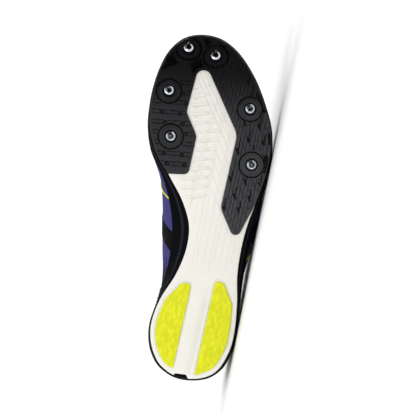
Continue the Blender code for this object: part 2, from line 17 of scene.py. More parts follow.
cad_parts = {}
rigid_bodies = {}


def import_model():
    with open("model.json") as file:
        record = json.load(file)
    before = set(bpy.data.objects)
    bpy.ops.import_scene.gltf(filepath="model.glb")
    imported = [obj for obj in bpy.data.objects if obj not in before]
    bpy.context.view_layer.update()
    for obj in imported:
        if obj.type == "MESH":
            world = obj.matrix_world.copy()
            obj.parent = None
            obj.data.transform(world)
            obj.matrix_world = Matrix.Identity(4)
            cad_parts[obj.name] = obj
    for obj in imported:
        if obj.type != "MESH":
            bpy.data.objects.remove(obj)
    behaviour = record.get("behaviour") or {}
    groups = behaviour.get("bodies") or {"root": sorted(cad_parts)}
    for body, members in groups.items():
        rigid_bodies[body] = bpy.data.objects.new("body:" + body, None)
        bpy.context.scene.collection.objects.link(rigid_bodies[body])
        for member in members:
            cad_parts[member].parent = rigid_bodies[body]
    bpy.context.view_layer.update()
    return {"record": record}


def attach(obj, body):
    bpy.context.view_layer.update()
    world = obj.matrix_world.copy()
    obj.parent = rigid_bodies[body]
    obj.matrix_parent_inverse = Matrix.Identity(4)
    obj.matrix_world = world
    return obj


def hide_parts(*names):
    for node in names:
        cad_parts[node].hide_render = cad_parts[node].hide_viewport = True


for old in list(bpy.data.objects):
    bpy.data.objects.remove(old)
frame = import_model()

MM = 0.001
TINY = 1e-12

# How meshes are finished: welding distances in metres, and the angle in degrees from which an edge is sharp
WELD = 1e-7
CUT_WELD = 1e-6
SHARP = 45

# How the shoe lies, and the point of the heel's tread that the record's mount names
SIDE_LEAN = math.radians(2.1)
SIDE_TURN = math.radians(9.5)
MOUNT_POINT = (50.0, 22.0, 0.0)

# Driving dimensions, in millimetres
SHOE_LENGTH = 282.0
GAP = 0.3
TREAD_PROUD = 1.6
BASE_THICKNESS = 3.4
TREAD_HEEL_INSET = 2.1
TREAD_TOE_INSET = 0.8
BASE_CHAMFER = 0.8
LEDGE_INSET = 3.2
FOOTBED_INSET = 5.6
TOE_DISH = 0.8
DISH_PER_WALL = 0.35
UPPER_WALL = 1.6
COLLAR_WALL = 4.6
FEATHER_INSET = 1.4
INSOLE_THICKNESS = 2.6
OVERLAY_THICKNESS = 0.8
TONGUE_THICKNESS = 2.6

SOLE_COLUMNS = ("along", "tread_medial", "tread_lateral", "rand_medial", "rand_lateral", "ground", "wall")
SOLE_ROWS = (
    (0.0, -0.4, -0.4, -0.4, -0.4, 3.2, 19.5),
    (1.5, -10.8, 10.6, -11.9, 11.7, 2.9, 19.5),
    (6.0, -19.8, 19.2, -21.0, 20.4, 2.1, 19.5),
    (14.0, -27.6, 25.6, -29.5, 27.9, 0.8, 19.3),
    (28.0, -33.1, 31.7, -35.2, 33.7, 0.0, 19.0),
    (45.0, -33.5, 34.5, -35.6, 36.5, 0.0, 18.6),
    (65.0, -26.8, 35.4, -29.6, 38.2, 0.0, 18.0),
    (85.0, -15.0, 34.9, -24.2, 40.3, 0.0, 17.2),
    (105.0, -7.4, 37.0, -20.6, 43.6, 1.2, 15.8),
    (125.0, -5.4, 41.2, -19.8, 47.4, 2.0, 14.4),
    (145.0, -11.2, 47.8, -22.6, 52.0, 1.4, 13.0),
    (165.0, -22.4, 54.4, -28.6, 57.1, 0.0, 11.8),
    (185.0, -34.0, 58.4, -38.2, 60.3, 0.0, 10.6),
    (205.0, -39.4, 58.4, -41.6, 59.4, 0.5, 9.8),
    (225.0, -39.3, 53.0, -40.3, 54.0, 2.8, 9.2),
    (245.0, -35.2, 45.0, -36.1, 45.9, 7.4, 8.8),
    (262.0, -28.8, 34.8, -29.6, 35.6, 13.9, 8.5),
    (273.0, -21.0, 24.8, -21.8, 25.6, 19.2, 8.3),
    (279.8, -11.4, 13.8, -12.0, 14.4, 22.8, 8.2),
    (282.0, 0.8, 0.8, 0.8, 0.8, 24.0, 8.2),
)
RIB_COLUMNS = (
    "top_along", "top_medial", "top_lateral", "top_height",
    "bulge_medial", "bulge_lateral", "rise", "reach", "drop",
)
RIB_ROWS = (
    (5.0, -0.4, -0.4, 89.0, 1.0, 1.0, 26.0, 0.00, 26.0),
    (6.0, -7.5, 6.8, 88.0, 1.0, 1.0, 26.0, 0.05, 25.0),
    (9.3, -14.0, 13.2, 84.5, 0.6, 0.3, 25.0, 0.10, 24.0),
    (16.0, -21.0, 20.3, 78.5, 0.2, -0.8, 23.0, 0.20, 21.0),
    (29.0, -26.8, 26.6, 72.0, 0.0, -1.8, 20.0, 0.35, 18.0),
    (46.0, -28.3, 29.0, 68.5, 0.0, -1.9, 18.0, 0.50, 16.0),
    (65.0, -26.5, 29.5, 69.5, 0.8, -0.6, 18.0, 0.60, 15.0),
    (84.0, -22.0, 29.0, 76.0, 6.0, 3.0, 20.0, 0.65, 14.0),
    (101.0, -14.5, 26.5, 86.0, 14.5, 7.2, 22.0, 0.70, 10.0),
    (117.0, -9.5, 26.0, 82.5, 17.5, 8.8, 22.0, 0.70, 8.0),
    (133.0, -6.5, 26.0, 76.0, 15.0, 7.0, 21.0, 0.65, 6.5),
    (149.0, -4.4, 25.4, 69.0, 9.0, 3.4, 20.0, 0.60, 5.5),
    (164.0, -3.4, 24.0, 62.3, 3.6, 2.4, 18.0, 0.55, 5.0),
    (177.0, -2.6, 21.5, 56.8, 1.5, 1.5, 17.0, 0.50, 5.0),
    (186.0, -1.2, 18.0, 53.3, 1.0, 1.0, 16.0, 0.48, 5.0),
    (191.6, 0.8, 14.6, 51.4, 1.0, 1.0, 15.0, 0.46, 5.0),
    (194.8, 2.7, 11.6, 50.6, 1.0, 1.0, 14.0, 0.45, 5.0),
    (196.3, 4.3, 9.3, 50.2, 1.0, 1.0, 13.0, 0.45, 5.0),
    (196.9, 5.6, 7.7, 50.0, 1.0, 1.0, 12.5, 0.45, 5.0),
    (197.0, 6.6, 6.6, 50.0, 1.0, 1.0, 12.0, 0.45, 5.0),
)
LAST_ROW = len(SOLE_ROWS) - 1
RING_ROWS = 2 * LAST_ROW
TOE_WALL = SOLE_ROWS[LAST_ROW][SOLE_COLUMNS.index("wall")]

# The sole's side wall: share of the way from tread to rand, how far it stands out there, and its points
WALL_SHARES = (0.0, 0.26, 0.30, 0.35, 0.40, 0.44, 0.90, 0.96, 1.0)
WALL_OUTS = (0.0, 0.1, 0.75, 1.0, 0.75, 0.1, 0.1, -0.1, -0.6)
WALL_POINTS = ((0.0, 1.0, 44), (0.25, 0.45, 15), (0.9, 1.0, 7))
WALL_FOOT_INSET = 0.4

# The insole's edge from its underside up: inset past the footbed's edge, and lift
INSOLE_EDGE = ((0.5, 0.0), (-0.5, 1.6), (-0.6, 2.2), (-0.1, INSOLE_THICKNESS))

# The spike plate: corners of its two arms and of the window between them (along, across, radius)
PLATE_CORNERS = (
    (114.1, 32.1, 4.4),
    (141.2, 19.6, 12.0),
    (201.0, 31.2, 15.0),
    (265.3, 0.7, 6.2),
    (218.3, -10.2, 8.0),
    (198.9, -1.5, 7.0),
    (167.6, -7.4, 4.5),
)
WINDOW_EDGE = ((141.0, 201.0, 265.0), (19.6, 31.2, 0.7))
PLATE_TURNS = (RING_ROWS - 11.12, 9.95)
PLATE_COVERS_FROM = (10.0, 13.0)
PLATE_BEVEL = 0.55
PLATE_RIM = 1.6

# Where the toe is smooth (along, by place across), and where the lateral arm starts (across, by place along)
SMOOTH_TOE = ((-30.0, -4.0, 6.0), (246.0, 250.0, 262.0))
ARM_EDGE = ((118.0, 200.0, 254.0, 282.0), (10.0, 20.0, 2.0, 2.0))

# Nodules of the medial arm, and smooth recesses of the toe and of the lateral edge (corners)
DOT_ROWS = 9
DOT_RADII = (0.0, 0.5, 1.0, 1.5, 1.9)
DOT_HEIGHTS = (0.14, 0.1, -0.45, -0.4, 0.0)
RECESS_DEPTH = 0.9
RECESS_SLOPE = 1.3
RECESSES = (
    (
        (251.0, -33.0), (258.4, -31.2), (264.5, -27.2), (269.1, -23.0), (265.7, -21.9), (257.9, -17.9),
        (254.2, -26.5),
    ),
    (
        (261.4, -16.8), (259.1, -9.3), (267.8, -1.6), (259.5, 1.6), (255.6, 3.6), (254.0, -2.0),
        (248.4, -6.1), (256.5, -11.0),
    ),
    ((280.0, -1.1), (280.2, 5.4), (276.5, 8.4), (272.0, 6.1), (272.3, 2.6), (277.2, 0.0)),
    ((278.4, 11.3), (277.2, 15.8), (273.9, 20.6), (271.4, 19.9), (273.2, 14.9), (275.6, 11.9)),
    ((238.0, 46.6), (233.0, 49.4), (226.0, 52.4), (219.5, 54.5), (219.0, 51.0), (226.0, 47.0), (233.5, 45.0)),
    ((203.4, 56.2), (203.2, 58.3), (198.0, 58.8), (192.6, 58.8), (193.2, 57.2), (198.5, 56.0)),
    ((184.6, 52.6), (184.4, 57.4), (177.5, 56.8), (170.4, 55.2), (169.4, 52.8), (177.0, 52.0)),
)

# Moulded lines of the base and of the plate: heading in degrees from the shoe's length, reach, width, height
BAR_HEADING = 84.0
WAIST_LINE = (9.5, 56.0, 1.0, 0.085)
LONG_LINE = (11.0, 74.0, 1.0, 0.10)
EDGE_LINE = (-25.4, 66.0, 1.0, 0.12)
CROSS_LINE = (-24.0, 30.0, 1.0, 0.10)
ARM_LINE = (10.5, 150.0, 0.8, -0.18)
ARM_CROSS = (153.0, 110.0, 0.7, -0.14)
ARM_BAR = (93.0, 44.0, 0.8, -0.24)
TICK_SHORT = (158.0, 3.6, 1.7, -0.4)
TICK_LONG = (7.0, 8.4, 1.2, -0.3)

# Where rows of those lines stand: first place, end and step, along the shoe or across it
PAIR_ROWS = (148.0, 256.0, 7.4)
WAIST_ROWS = (-14.0, 60.0, 4.6)
LONG_ROWS = (-9.0, 24.0, 4.4)
CROSS_ROWS = (138.4, 200.0, 8.8)
ARM_ROWS = (-34.0, 60.0, 2.9)
ARM_CROSS_ROWS = (120.0, 330.0, 12.6)
ARM_BAR_ROWS = (176.0, 250.0, 8.3)
BAR_GAP = 2.9

# The base: how far its lines keep from its edge and from the pads, the pads' rim (distance, width, height),
# and the trough between the pads, which starts and ends softly
LINES_INSET = 3.2
PAD_CLEARANCE = 3.0
PAD_RIM = (1.15, 1.3, 0.42)
TROUGH_HEEL = -3.4
TROUGH_SLANT = 0.192
TROUGH_DEPTH = 0.6
TROUGH_WIDTH = 4.0
TROUGH_STARTS = (2.0, 9.0)
TROUGH_ENDS = (62.0, 96.0)
# Share of the trough's painted shade that is taken back out, so the trough is painted only a little darker
TROUGH_SHADE_TAKEN_OUT = 0.85
HEEL_NOTCH = np.array([(-4.0, -23.9), (6.4, -13.0), (5.6, -4.3), (-4.0, 0.8)])
NOTCH_HEIGHTS = (-5.0, 15.0)

# The spikes: where each stands, and the turned profiles of its boss and its pin (radius, height)
PIN_PLACES = (
    ("toe_medial", 269.8, -10.2),
    ("toe_lateral", 264.1, 11.9),
    ("middle_medial", 234.9, -25.0),
    ("middle_lateral", 222.0, 41.1),
    ("rear_medial", 198.1, -22.4),
    ("rear_lateral", 177.0, 43.7),
)
BOSS_RADII = (0.0, 4.3, 4.5, 4.7, 5.1, 5.3, 7.6, 7.7, 8.0, 8.1, 9.5, 9.7, 10.5, 10.7, 11.3)
BOSS_HEIGHTS = (1.0, 1.0, 0.9, 0.9, 1.5, 1.6, 1.7, 1.55, 1.55, 1.7, 1.6, -0.35, -0.35, -0.1, 0.0)
# Painted shade round each spike, by the same radii: values below zero paint the dips round the boss darker
BOSS_PAINTED_SHADE = (0.0, -0.3, -0.3, -0.3, -0.15, 0.0, 0.0, -0.12, -0.12, 0.0, 0.0, -0.3, -0.3, -0.05, 0.0)
PIN_PROFILE = (
    (0.0, 1.1), (3.7, 1.1), (3.9, 1.35), (3.9, 2.0), (3.8, 2.25), (3.5, 2.5), (3.05, 2.8), (2.6, 3.0),
    (2.2, 3.3), (1.95, 4.0), (1.6, 5.9), (1.1, 8.4), (0.62, 10.5), (0.4, 11.05), (0.0, 11.2),
)
# Painted dark reflection on each spike, by profile point: the inner flange and the pin are painted dark, the
# flange's rim is left bright
PIN_PAINTED_DARKS = (0.0, 0.0, 0.0, 0.0, 0.0, 0.0, 0.0, 0.4, 0.95, 1.0, 1.0, 0.9, 0.7, 0.45, 0.4)
PIN_SIDES = 48

# The heel pads: corners beside the centre groove, and turns of the edge that follows the tread's
PADS = (
    ("heel_pad_lateral", ((4.9, 2.5, 1.2), (83.2, 17.4, 3.2), (80.0, 24.4, 3.0)), (5.85, 1.05)),
    (
        "heel_pad_medial", ((8.4, -15.4, 1.2), (80.4, -1.8, 3.6), (79.4, -10.2, 5.0)),
        (RING_ROWS - 6.1, RING_ROWS - 1.9),
    ),
)
PAD_INSET = 4.1
PAD_BEVEL = 0.6
PEBBLE_SPACING = 4.2
PEBBLE_JITTER = 0.7
PEBBLE_HEIGHT = 0.16
PEBBLE_RADII = (0.35, 2.5)

# How finely the pieces are divided: cells of the flat sheets, and rings or points along the others
BASE_CELL = 2.2
PLATE_CELL = 2.4
PAD_CELL = 3.0
PEBBLE_CELL = 0.8
BACK_CELL = 5.0
ROW_RATIO = 0.866
BASE_EDGE_POINTS = 420
INNER_EDGE_POINTS = 300
PLATE_EDGE_POINTS = 150
PAD_EDGE_POINTS = 60
MIDSOLE_RINGS = 420
INSOLE_RINGS = 260
RIBS_A_ROW = 9
COUNTER_RINGS = 180
EYESTAY_RINGS = 420
SADDLE_RINGS = 60
PIPING_RINGS = 80
SEAM_POINTS = 900
CUP_SEAM_POINTS = 700

# The mesh: flex folds over the vamp (along, bow, depth, width), ridges beside each (height, shift, width)
FLEX_FOLDS = ((207.0, 0.006, 0.75, 3.2), (217.0, 0.008, 0.9, 3.4), (228.0, 0.010, 0.6, 3.0))
FLEX_RIDGES = ((0.55, -4.2, 2.4), (0.45, 4.6, 2.6))
VAMP_HEIGHTS = (24.0, 34.0)
OUTER_SHARES = np.concatenate([np.linspace(0, 0.96, 50), [0.975, 0.988]])
INNER_SHARES = np.concatenate([[0.99, 0.975], np.linspace(0.95, 0.0, 26)])
CREST_STEPS = np.array([0.12, 0.38, 0.62, 0.88])

# The padded collar: shares of a rib where padding starts, is full and thins again, and where along it ends
COLLAR_SHARES = (0.62, 0.86, 0.93)
COLLAR_ENDS = (84.0, 104.0)

# The heel counter: how many rows round it reaches, and its height as a share of a rib at the heel
COUNTER_TURNS = 6.5
COUNTER_SHARE = 0.56
COUNTER_LOW_SHARE = 0.03
COUNTER_TAPER = 0.72
COUNTER_EDGE = 1.2

# The eyestay and its eyelets, in rows from the heel
EYESTAY_TURN = 8.0
EYESTAY_WIDTH = 15.0
EYESTAY_INSET = 0.6
EYESTAY_EDGE = 0.9
EYELET_TURNS = (8.35, 9.2, 10.05, 10.9, 11.75, 12.6)
EYELET_FROM_EDGE = 7.0
EYELET_RADIUS = 2.2
EYELET_SIDES = 28
EYELET_DRILL = ((EYELET_RADIUS, -6.0), (EYELET_RADIUS, 6.0))

# The overlays: how far out of the mesh their inner face and their edge lie, their rise, and their tuck
SKIN_FOOT = 0.05
FILM_FOOT = 0.06
FILM_RISE = GAP + OVERLAY_THICKNESS
TUCK = 0.5

# Side panels and piping on the mesh: turns at the rand and at the top, for a panel's rear and front edge
SADDLES = (
    ((RING_ROWS - 7.98, RING_ROWS - 9.69), (RING_ROWS - 8.78, RING_ROWS - 10.6)),
    ((8.3, 9.8), (9.1, 10.8)),
)
SADDLE_THICKNESS = 0.45
SADDLE_EDGE = np.array([0.0, 0.004, 0.012, 0.03])
SADDLE_FOOT = 0.012
PIPINGS = ((RING_ROWS - 10.12, RING_ROWS - 12.2), (7.7, 9.0))
PIPING_WIDTH = 1.5
PIPING_THICKNESS = 0.7
PIPING_FOOT = 0.004

# The tongue, from under the front of the throat to its tip above the collar (shift of each ring, width)
THROAT_TURN = 16.6
COLLAR_TURN = 8.3
TONGUE_SHARES = (0.86, 0.93, 1.0)
TONGUE_RINGS = 60
TONGUE_POINTS = 33
TONGUE_CROWN = 2.4
TONGUE_NECK = 0.72
TONGUE_NECK_TURNS = 1.6
TONGUE_TIP = np.array([
    (0.0, 0.0, 0.0, 1.0),
    (-7.0, -0.8, 8.0, 1.0),
    (-12.0, -1.4, 15.0, 0.92),
    (-14.0, -1.7, 18.5, 0.66),
])

# The flat lace
LACE_WIDTH = 5.6
LACE_THICKNESS = 1.1
LACE_LIFT = 1.2
LACE_SLIP = 0.15
LACE_STACK = 0.07
LACE_CROWN = 3.0
LACE_RINGS = 90

# Stitching (length, gap and radius of a stitch), and its rows' distances from the edge that they follow
FILM_STITCH = (2.1, 0.9, 0.24)
COLLAR_STITCH = (1.9, 0.8, 0.2)
EYESTAY_SEAMS = (13.2, 11.6, 2.3)
COUNTER_SEAMS = (2.0, 3.8)
COLLAR_SEAMS = (3.2, 19.5)
COLLAR_SEAM_TURNS = 7.6


# Small sums

def unit(vectors):
    return vectors / np.maximum(np.linalg.norm(vectors, axis=-1, keepdims=True), TINY)


def smooth(low, high, value):
    """0 below low, 1 above high, and a smooth step between them."""
    part = np.clip((np.asarray(value, float) - low) / (high - low), 0.0, 1.0)
    return part * part * (3 - 2 * part)


def hump(centre, width, value):
    """A soft ridge, 1 high at its centre."""
    return np.exp(-(((np.asarray(value, float) - centre) / width) ** 2))


def blend(before, here, after, beyond, part):
    """A smooth curve through four neighbours, part of the way from here to after."""
    bend = 2 * before - 5 * here + 4 * after - beyond
    swing = 3 * (here - after) + beyond - before
    return here + 0.5 * part * (after - before + part * (bend + part * swing))


def smooth_through(points, samples):
    """A smooth open curve through rows of points, read at evenly spaced samples."""
    count = len(points)
    ends = np.concatenate([2 * points[:1] - points[1:2], points, 2 * points[-1:] - points[-2:-1]])
    place = np.linspace(0, count - 1, samples)
    row = np.minimum(place.astype(int), count - 2)
    return blend(*(ends[row + k] for k in range(4)), (place - row)[:, None])


def lengths_along(path, axis=0):
    """How far along a path each of its points lies."""
    steps = np.linalg.norm(np.diff(path, axis=axis), axis=-1)
    return np.insert(np.cumsum(steps, axis), 0, 0.0, axis)


def circle(count):
    """Cosines and sines of evenly spaced angles."""
    angle = np.linspace(0, math.tau, count, endpoint=False)
    return np.cos(angle), np.sin(angle)


# Reading the tables

def make_rings():
    """Every column as a ring of values. A column with a medial and a lateral half is one ring."""
    columns = {}
    for names, rows in ((SOLE_COLUMNS, SOLE_ROWS), (RIB_COLUMNS, RIB_ROWS)):
        columns.update({name: [row[k] for row in rows] for k, name in enumerate(names)})
    rings = {}
    for name, values in columns.items():
        stem = name.removesuffix("_medial")
        if not name.endswith("_lateral"):
            lateral = columns.get(stem + "_lateral", values)
            rings[stem] = np.array(lateral + values[-2:0:-1])
    return rings


RINGS = make_rings()


def read(name, turn):
    """A ring's value at turn, on a closed smooth curve through the rows."""
    turn = np.asarray(turn, float)
    row = np.floor(turn).astype(int)
    return blend(*(RINGS[name][(row + k) % RING_ROWS] for k in (-1, 0, 1, 2)), turn - row)


FINE_TURNS = np.linspace(0.0, LAST_ROW, 200 * LAST_ROW + 1)
FINE_ALONG = read("along", FINE_TURNS)


def turn_at(along):
    """The turn on the lateral side where the rand reaches along."""
    return np.interp(along, FINE_ALONG, FINE_TURNS)


def rows_from_heel(turn):
    return np.minimum(turn % RING_ROWS, -turn % RING_ROWS)


def ground_at(along):
    """Height of the tread's underside: flat under heel and ball, raised at the arch, sprung at the toe."""
    return np.maximum(0.0, read("ground", turn_at(along)))


def slope_at(along):
    return ground_at(along + 0.5) - ground_at(along - 0.5)


def slope_cosine(along):
    return 1 / np.sqrt(1 + slope_at(along) ** 2)


def outline(kind, turn, inset=0.0):
    """Points (along, across) of the tread's or the rand's outline, set in by inset."""
    points = []
    for nearby in (turn - 0.02, turn, turn + 0.02):
        along = read("along", nearby)
        if kind == "tread":
            along = TREAD_HEEL_INSET + along * (1 - (TREAD_HEEL_INSET + TREAD_TOE_INSET) / SHOE_LENGTH)
        points.append(np.stack([along, read(kind, nearby)], -1))
    run = unit(points[2] - points[0])
    inward = np.stack([run[..., 1], -run[..., 0]], -1)
    return points[1] + np.asarray(inset, float)[..., None] * inward


def rand_height(along):
    return ground_at(along) + read("wall", turn_at(along))


def footbed_height(along):
    """Height of the midsole's dished top, deepest at the heel."""
    wall = read("wall", turn_at(along))
    return rand_height(along) - TOE_DISH - DISH_PER_WALL * (wall - TOE_WALL)


def raised(flat, height):
    """Points (along, across) lifted to a height."""
    height = np.broadcast_to(np.asarray(height, float), flat.shape[:-1])
    return np.concatenate([flat, height[..., None]], -1)


# The upper's own surface

def rib_point(turn, share):
    """Points of the upper's outer face, share of the way up the rib from the rand to the top line."""
    turn, share = np.broadcast_arrays(turn, share)
    foot = outline("rand", turn, FEATHER_INSET)
    outward = unit(outline("rand", turn) - foot)
    top = np.stack([read("top_along", turn), read("top", turn)], -1)
    bulge = read("bulge", turn)[..., None]
    side = foot + outward * bulge
    shoulder = top + (foot - top) * read("reach", turn)[..., None] + outward * bulge / 2
    low = rand_height(foot[..., 0]) + GAP
    high = read("top_height", turn)
    heights = (low, low + read("rise", turn), high - read("drop", turn), high)
    rest = 1 - share
    weights = (rest**3, 3 * rest**2 * share, 3 * rest * share**2, share**3)
    flat = sum(weight[..., None] * point for weight, point in zip(weights, (foot, side, shoulder, top)))
    return raised(flat, sum(weight * height for weight, height in zip(weights, heights)))


def rib_normal(turn, share):
    step = 0.01
    up = rib_point(turn, np.minimum(1.0, share + step)) - rib_point(turn, np.maximum(0.0, share - step))
    run = rib_point(turn + step, share) - rib_point(turn - step, share)
    return unit(np.cross(up, run))


def upper_at(turn, share, out):
    """Points that stand out from the upper's outer face, or lie inside it where out is negative."""
    turn, share, out = np.broadcast_arrays(turn, share, out)
    return rib_point(turn, share) + out[..., None] * rib_normal(turn, share)


def collar_at(turn):
    """How much of the collar's padding there is at turn."""
    return 1 - smooth(*COLLAR_ENDS, read("top_along", turn))


def wall_at(turn, share):
    """Thickness of the upper: thin all over, padded under the collar and thinned again at its edge."""
    start, full, edge = COLLAR_SHARES
    padding = smooth(start, full, share) * (1 - 0.55 * smooth(edge, 1.0, share))
    return UPPER_WALL + (COLLAR_WALL - UPPER_WALL) * collar_at(turn) * padding


def rib_length(turn):
    points = rib_point(np.asarray(turn)[..., None], np.linspace(0, 1, 9))
    return np.linalg.norm(np.diff(points, axis=-2), axis=-1).sum(-1)


def share_from_edge(turn, distance):
    """The share of a rib that lies distance below its top edge."""
    return 1 - distance / rib_length(turn)


def relief_of_upper(turn, share):
    """Soft folds of the mesh: flex troughs across the vamp, puckers at the rand and a padded collar."""
    along, over, up = np.moveaxis(rib_point(turn, share), -1, 0)
    vamp = smooth(*VAMP_HEIGHTS, up) * (1 - smooth(0.9, 1.0, share))
    pucker = (1 - smooth(0.02, 0.16, share)) * smooth(6.0, 9.0, rows_from_heel(turn))
    relief = 0.14 * pucker * np.sin(turn * 19.0) * np.sin(turn * 7.3)
    relief = relief + collar_at(turn) * 0.9 * hump(0.84, 0.085, share)
    for place, bow, depth, width in FLEX_FOLDS:
        fold = along - place + bow * (over - 6.0) ** 2
        ridges = sum(height * hump(shift, wide, fold) for height, shift, wide in FLEX_RIDGES)
        relief = relief + vamp * depth * (ridges - hump(0.0, width, fold))
    return relief * smooth(0.0, 0.03, share)


# Building meshes

def lay_down():
    """The matrix that lays the shoe on its lateral side, with the mount's point where the record puts it."""
    turned = Matrix.Rotation(-SIDE_LEAN, 3, "X") @ Matrix.Rotation(-SIDE_TURN, 3, "Y")
    turned = turned @ Matrix.Rotation(-math.pi / 2, 3, "X")
    mount = Vector(frame["record"]["mounts"][0]["pos_m"])
    return Matrix.Translation(mount - turned @ (Vector(MOUNT_POINT) * MM)) @ turned.to_4x4()


PLACE = lay_down()


def moved(points, place):
    """Points carried by a matrix."""
    return points @ np.array(place.to_3x3()).T + np.array(place.translation)


def laid(points):
    """Points of the shoe's frame, laid down in metres and pressed flat where they would dip under."""
    spots = moved(np.asarray(points, float) * MM, PLACE)
    spots[:, 2] = np.maximum(spots[:, 2], 0.0)
    return spots.tolist()


def standing(point, normal):
    """A matrix that stands +Z along a normal at a point."""
    turn = Vector(normal).normalized().to_track_quat("Z", "Y").to_matrix().to_4x4()
    return Matrix.Translation(Vector(point)) @ turn


def link(name, data):
    made = bpy.data.objects.new(name, data)
    bpy.context.scene.collection.objects.link(made)
    return made


def new_mesh(name, points, faces):
    mesh = bpy.data.meshes.new(name)
    mesh.from_pydata(points, [], [tuple(face) for face in faces])
    return mesh


def clean(mesh, weld):
    """Welds doubled points, drops slivers and points that only halve an edge, and turns the faces outward."""
    bm = bmesh.new()
    bm.from_mesh(mesh)
    bmesh.ops.remove_doubles(bm, verts=bm.verts, dist=weld)
    bmesh.ops.dissolve_degenerate(bm, edges=bm.edges, dist=weld)
    bmesh.ops.dissolve_verts(bm, verts=[vert for vert in bm.verts if len(vert.link_edges) == 2])
    bmesh.ops.recalc_face_normals(bm, faces=bm.faces)
    bm.to_mesh(mesh)
    bm.free()


def add_piece(
    name, points, faces, material, slot, replaces=(), sharp=SHARP, weave=None, lined=None, **values
):
    """A piece that rides on the shoe, its points in millimetres.

    weave gives corner UVs, lined marks faces that show the lining, and values become point attributes.
    """
    mesh = new_mesh(name, laid(points), faces)
    mesh.materials.append(material)
    if lined is not None:
        mesh.materials.append(LINING)
        mesh.polygons.foreach_set("material_index", np.asarray(lined, np.int32))
    for key, data in values.items():
        mesh.attributes.new(key, "FLOAT", "POINT").data.foreach_set("value", np.asarray(data, np.float32))
    if weave is not None:
        layer = mesh.uv_layers.new(name="weave")
        layer.data.foreach_set("uv", np.asarray(weave, np.float32).ravel())
    clean(mesh, WELD)
    mesh.shade_smooth()
    mesh.set_sharp_from_angle(angle=math.radians(sharp))
    piece = link(name, mesh)
    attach(piece, "root")
    if replaces:
        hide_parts(*replaces)
    return piece


def cut(piece, points, faces):
    """Cuts closed shapes out of a piece for good."""
    mesh = new_mesh("cutter", laid(points), faces)
    clean(mesh, WELD)
    cutter = link("cutter", mesh)
    modifier = piece.modifiers.new("cut", "BOOLEAN")
    modifier.operation = "DIFFERENCE"
    modifier.object = cutter
    bpy.context.view_layer.update()
    depsgraph = bpy.context.evaluated_depsgraph_get()
    made = bpy.data.meshes.new_from_object(piece.evaluated_get(depsgraph), depsgraph=depsgraph)
    piece.modifiers.remove(modifier)
    clean(made, CUT_WELD)
    made.set_sharp_from_angle(angle=math.radians(SHARP))
    piece.data = made
    bpy.data.objects.remove(cutter)


def grid_faces(rows, columns, round_rows=False, round_columns=False):
    """Quads over a grid of points that is stored row by row."""
    row, column = np.indices((rows - (not round_rows), columns - (not round_columns)))
    below, beside = (row + 1) % rows, (column + 1) % columns
    corners = ((row, column), (row, beside), (below, beside), (below, column))
    return np.stack([at * columns + to for at, to in corners], -1).reshape(-1, 4)


def ring_skin(rings):
    """Points and quads over rings of equally many points."""
    return rings.reshape(-1, 3), grid_faces(*rings.shape[:2], round_columns=True)


def tube(rings):
    """A closed skin over rings, with a cap at each end."""
    points, quads = ring_skin(rings)
    cap = np.arange(rings.shape[1])
    return points, [*quads.tolist(), cap.tolist(), (cap + len(points) - len(cap)).tolist()]


def join(shapes):
    """Several (points, faces) as one."""
    points, faces, start = [], [], 0
    for more, quads in shapes:
        points.append(more)
        faces += [[corner + start for corner in quad] for quad in quads]
        start += len(more)
    return np.concatenate(points), faces


def turned_rings(profile, sides, place):
    """Rings of a turned shape about +Z from (radius, height) pairs, carried to its place by a matrix."""
    radius, height = np.array(profile).T
    return moved(raised(radius[:, None, None] * np.stack(circle(sides), -1), height[:, None]), place)


def edge_steps(width, radius, count):
    """Distances over a width, close together where its two edges are rounded."""
    edge = np.array([0.0, 0.06, 0.25, 0.55, 1.0]) * radius
    return np.concatenate([edge, np.linspace(radius, width - radius, count)[1:-1], (width - edge)[::-1]])


def rounding(distance, radius):
    """Height share of a rounded edge at a distance in from it."""
    return np.sqrt(np.maximum(0.0, 1 - (1 - np.minimum(distance, radius) / radius) ** 2))


def skin(turns, shares, lift):
    """A closed skin on the upper: a ring for each row of turns, raised by lift."""
    rise = relief_of_upper(turns, shares)
    outer, inner = (upper_at(turns, shares, rise + out) for out in (lift, SKIN_FOOT))
    return tube(np.concatenate([outer, inner[:, ::-1]], 1))


# Flat sheets with relief, meshed by a constrained triangulation

def rounded(corners, arc_steps=10):
    """A chain of (along, across) points through corners (along, across, radius), each corner an arc."""
    chain = []
    for k, (along, over, radius) in enumerate(corners):
        corner = Vector((along, over))
        if radius == 0:
            chain.append(corner)
            continue
        to_last = (Vector(corners[k - 1][:2]) - corner).normalized()
        to_next = (Vector(corners[(k + 1) % len(corners)][:2]) - corner).normalized()
        half = to_last.angle(to_next) / 2
        centre = corner + (to_last + to_next).normalized() * radius / math.sin(half)
        first = corner + to_last * radius / math.tan(half) - centre
        sweep = first.angle_signed(corner + to_next * radius / math.tan(half) - centre)
        for step in range(arc_steps + 1):
            chain.append(centre + Matrix.Rotation(-sweep * step / arc_steps, 2) @ first)
    return np.array([tuple(point) for point in chain])


def resample(chain, spacing):
    """A closed chain with points added so that no edge is longer than spacing."""
    points = []
    for a, b in zip(chain, np.roll(chain, -1, 0)):
        count = max(1, math.ceil(np.linalg.norm(b - a) / spacing))
        points += [a + (b - a) * k / count for k in range(count)]
    return np.array(points)


def offset(chain, distance):
    """A closed chain moved in by distance, or out where it is negative."""
    after = np.roll(chain, -1, 0)
    run = unit(after - np.roll(chain, 1, 0))
    area = np.sum(chain[:, 0] * after[:, 1] - after[:, 0] * chain[:, 1])
    return chain + distance * np.stack([-run[:, 1], run[:, 0]], -1) * math.copysign(1.0, area)


def inside(points, chain):
    """Whether each point (along, across) lies inside a closed chain."""
    after = np.roll(chain, -1, 0)
    x, y = points[:, 0, None], points[:, 1, None]
    spans = (chain[:, 1] > y) != (after[:, 1] > y)
    rise = after[:, 1] - chain[:, 1]
    rise = np.where(np.abs(rise) < TINY, TINY, rise)
    meets = (after[:, 0] - chain[:, 0]) * (y - chain[:, 1]) / rise + chain[:, 0]
    return (spans & (x < meets)).sum(1) % 2 == 1


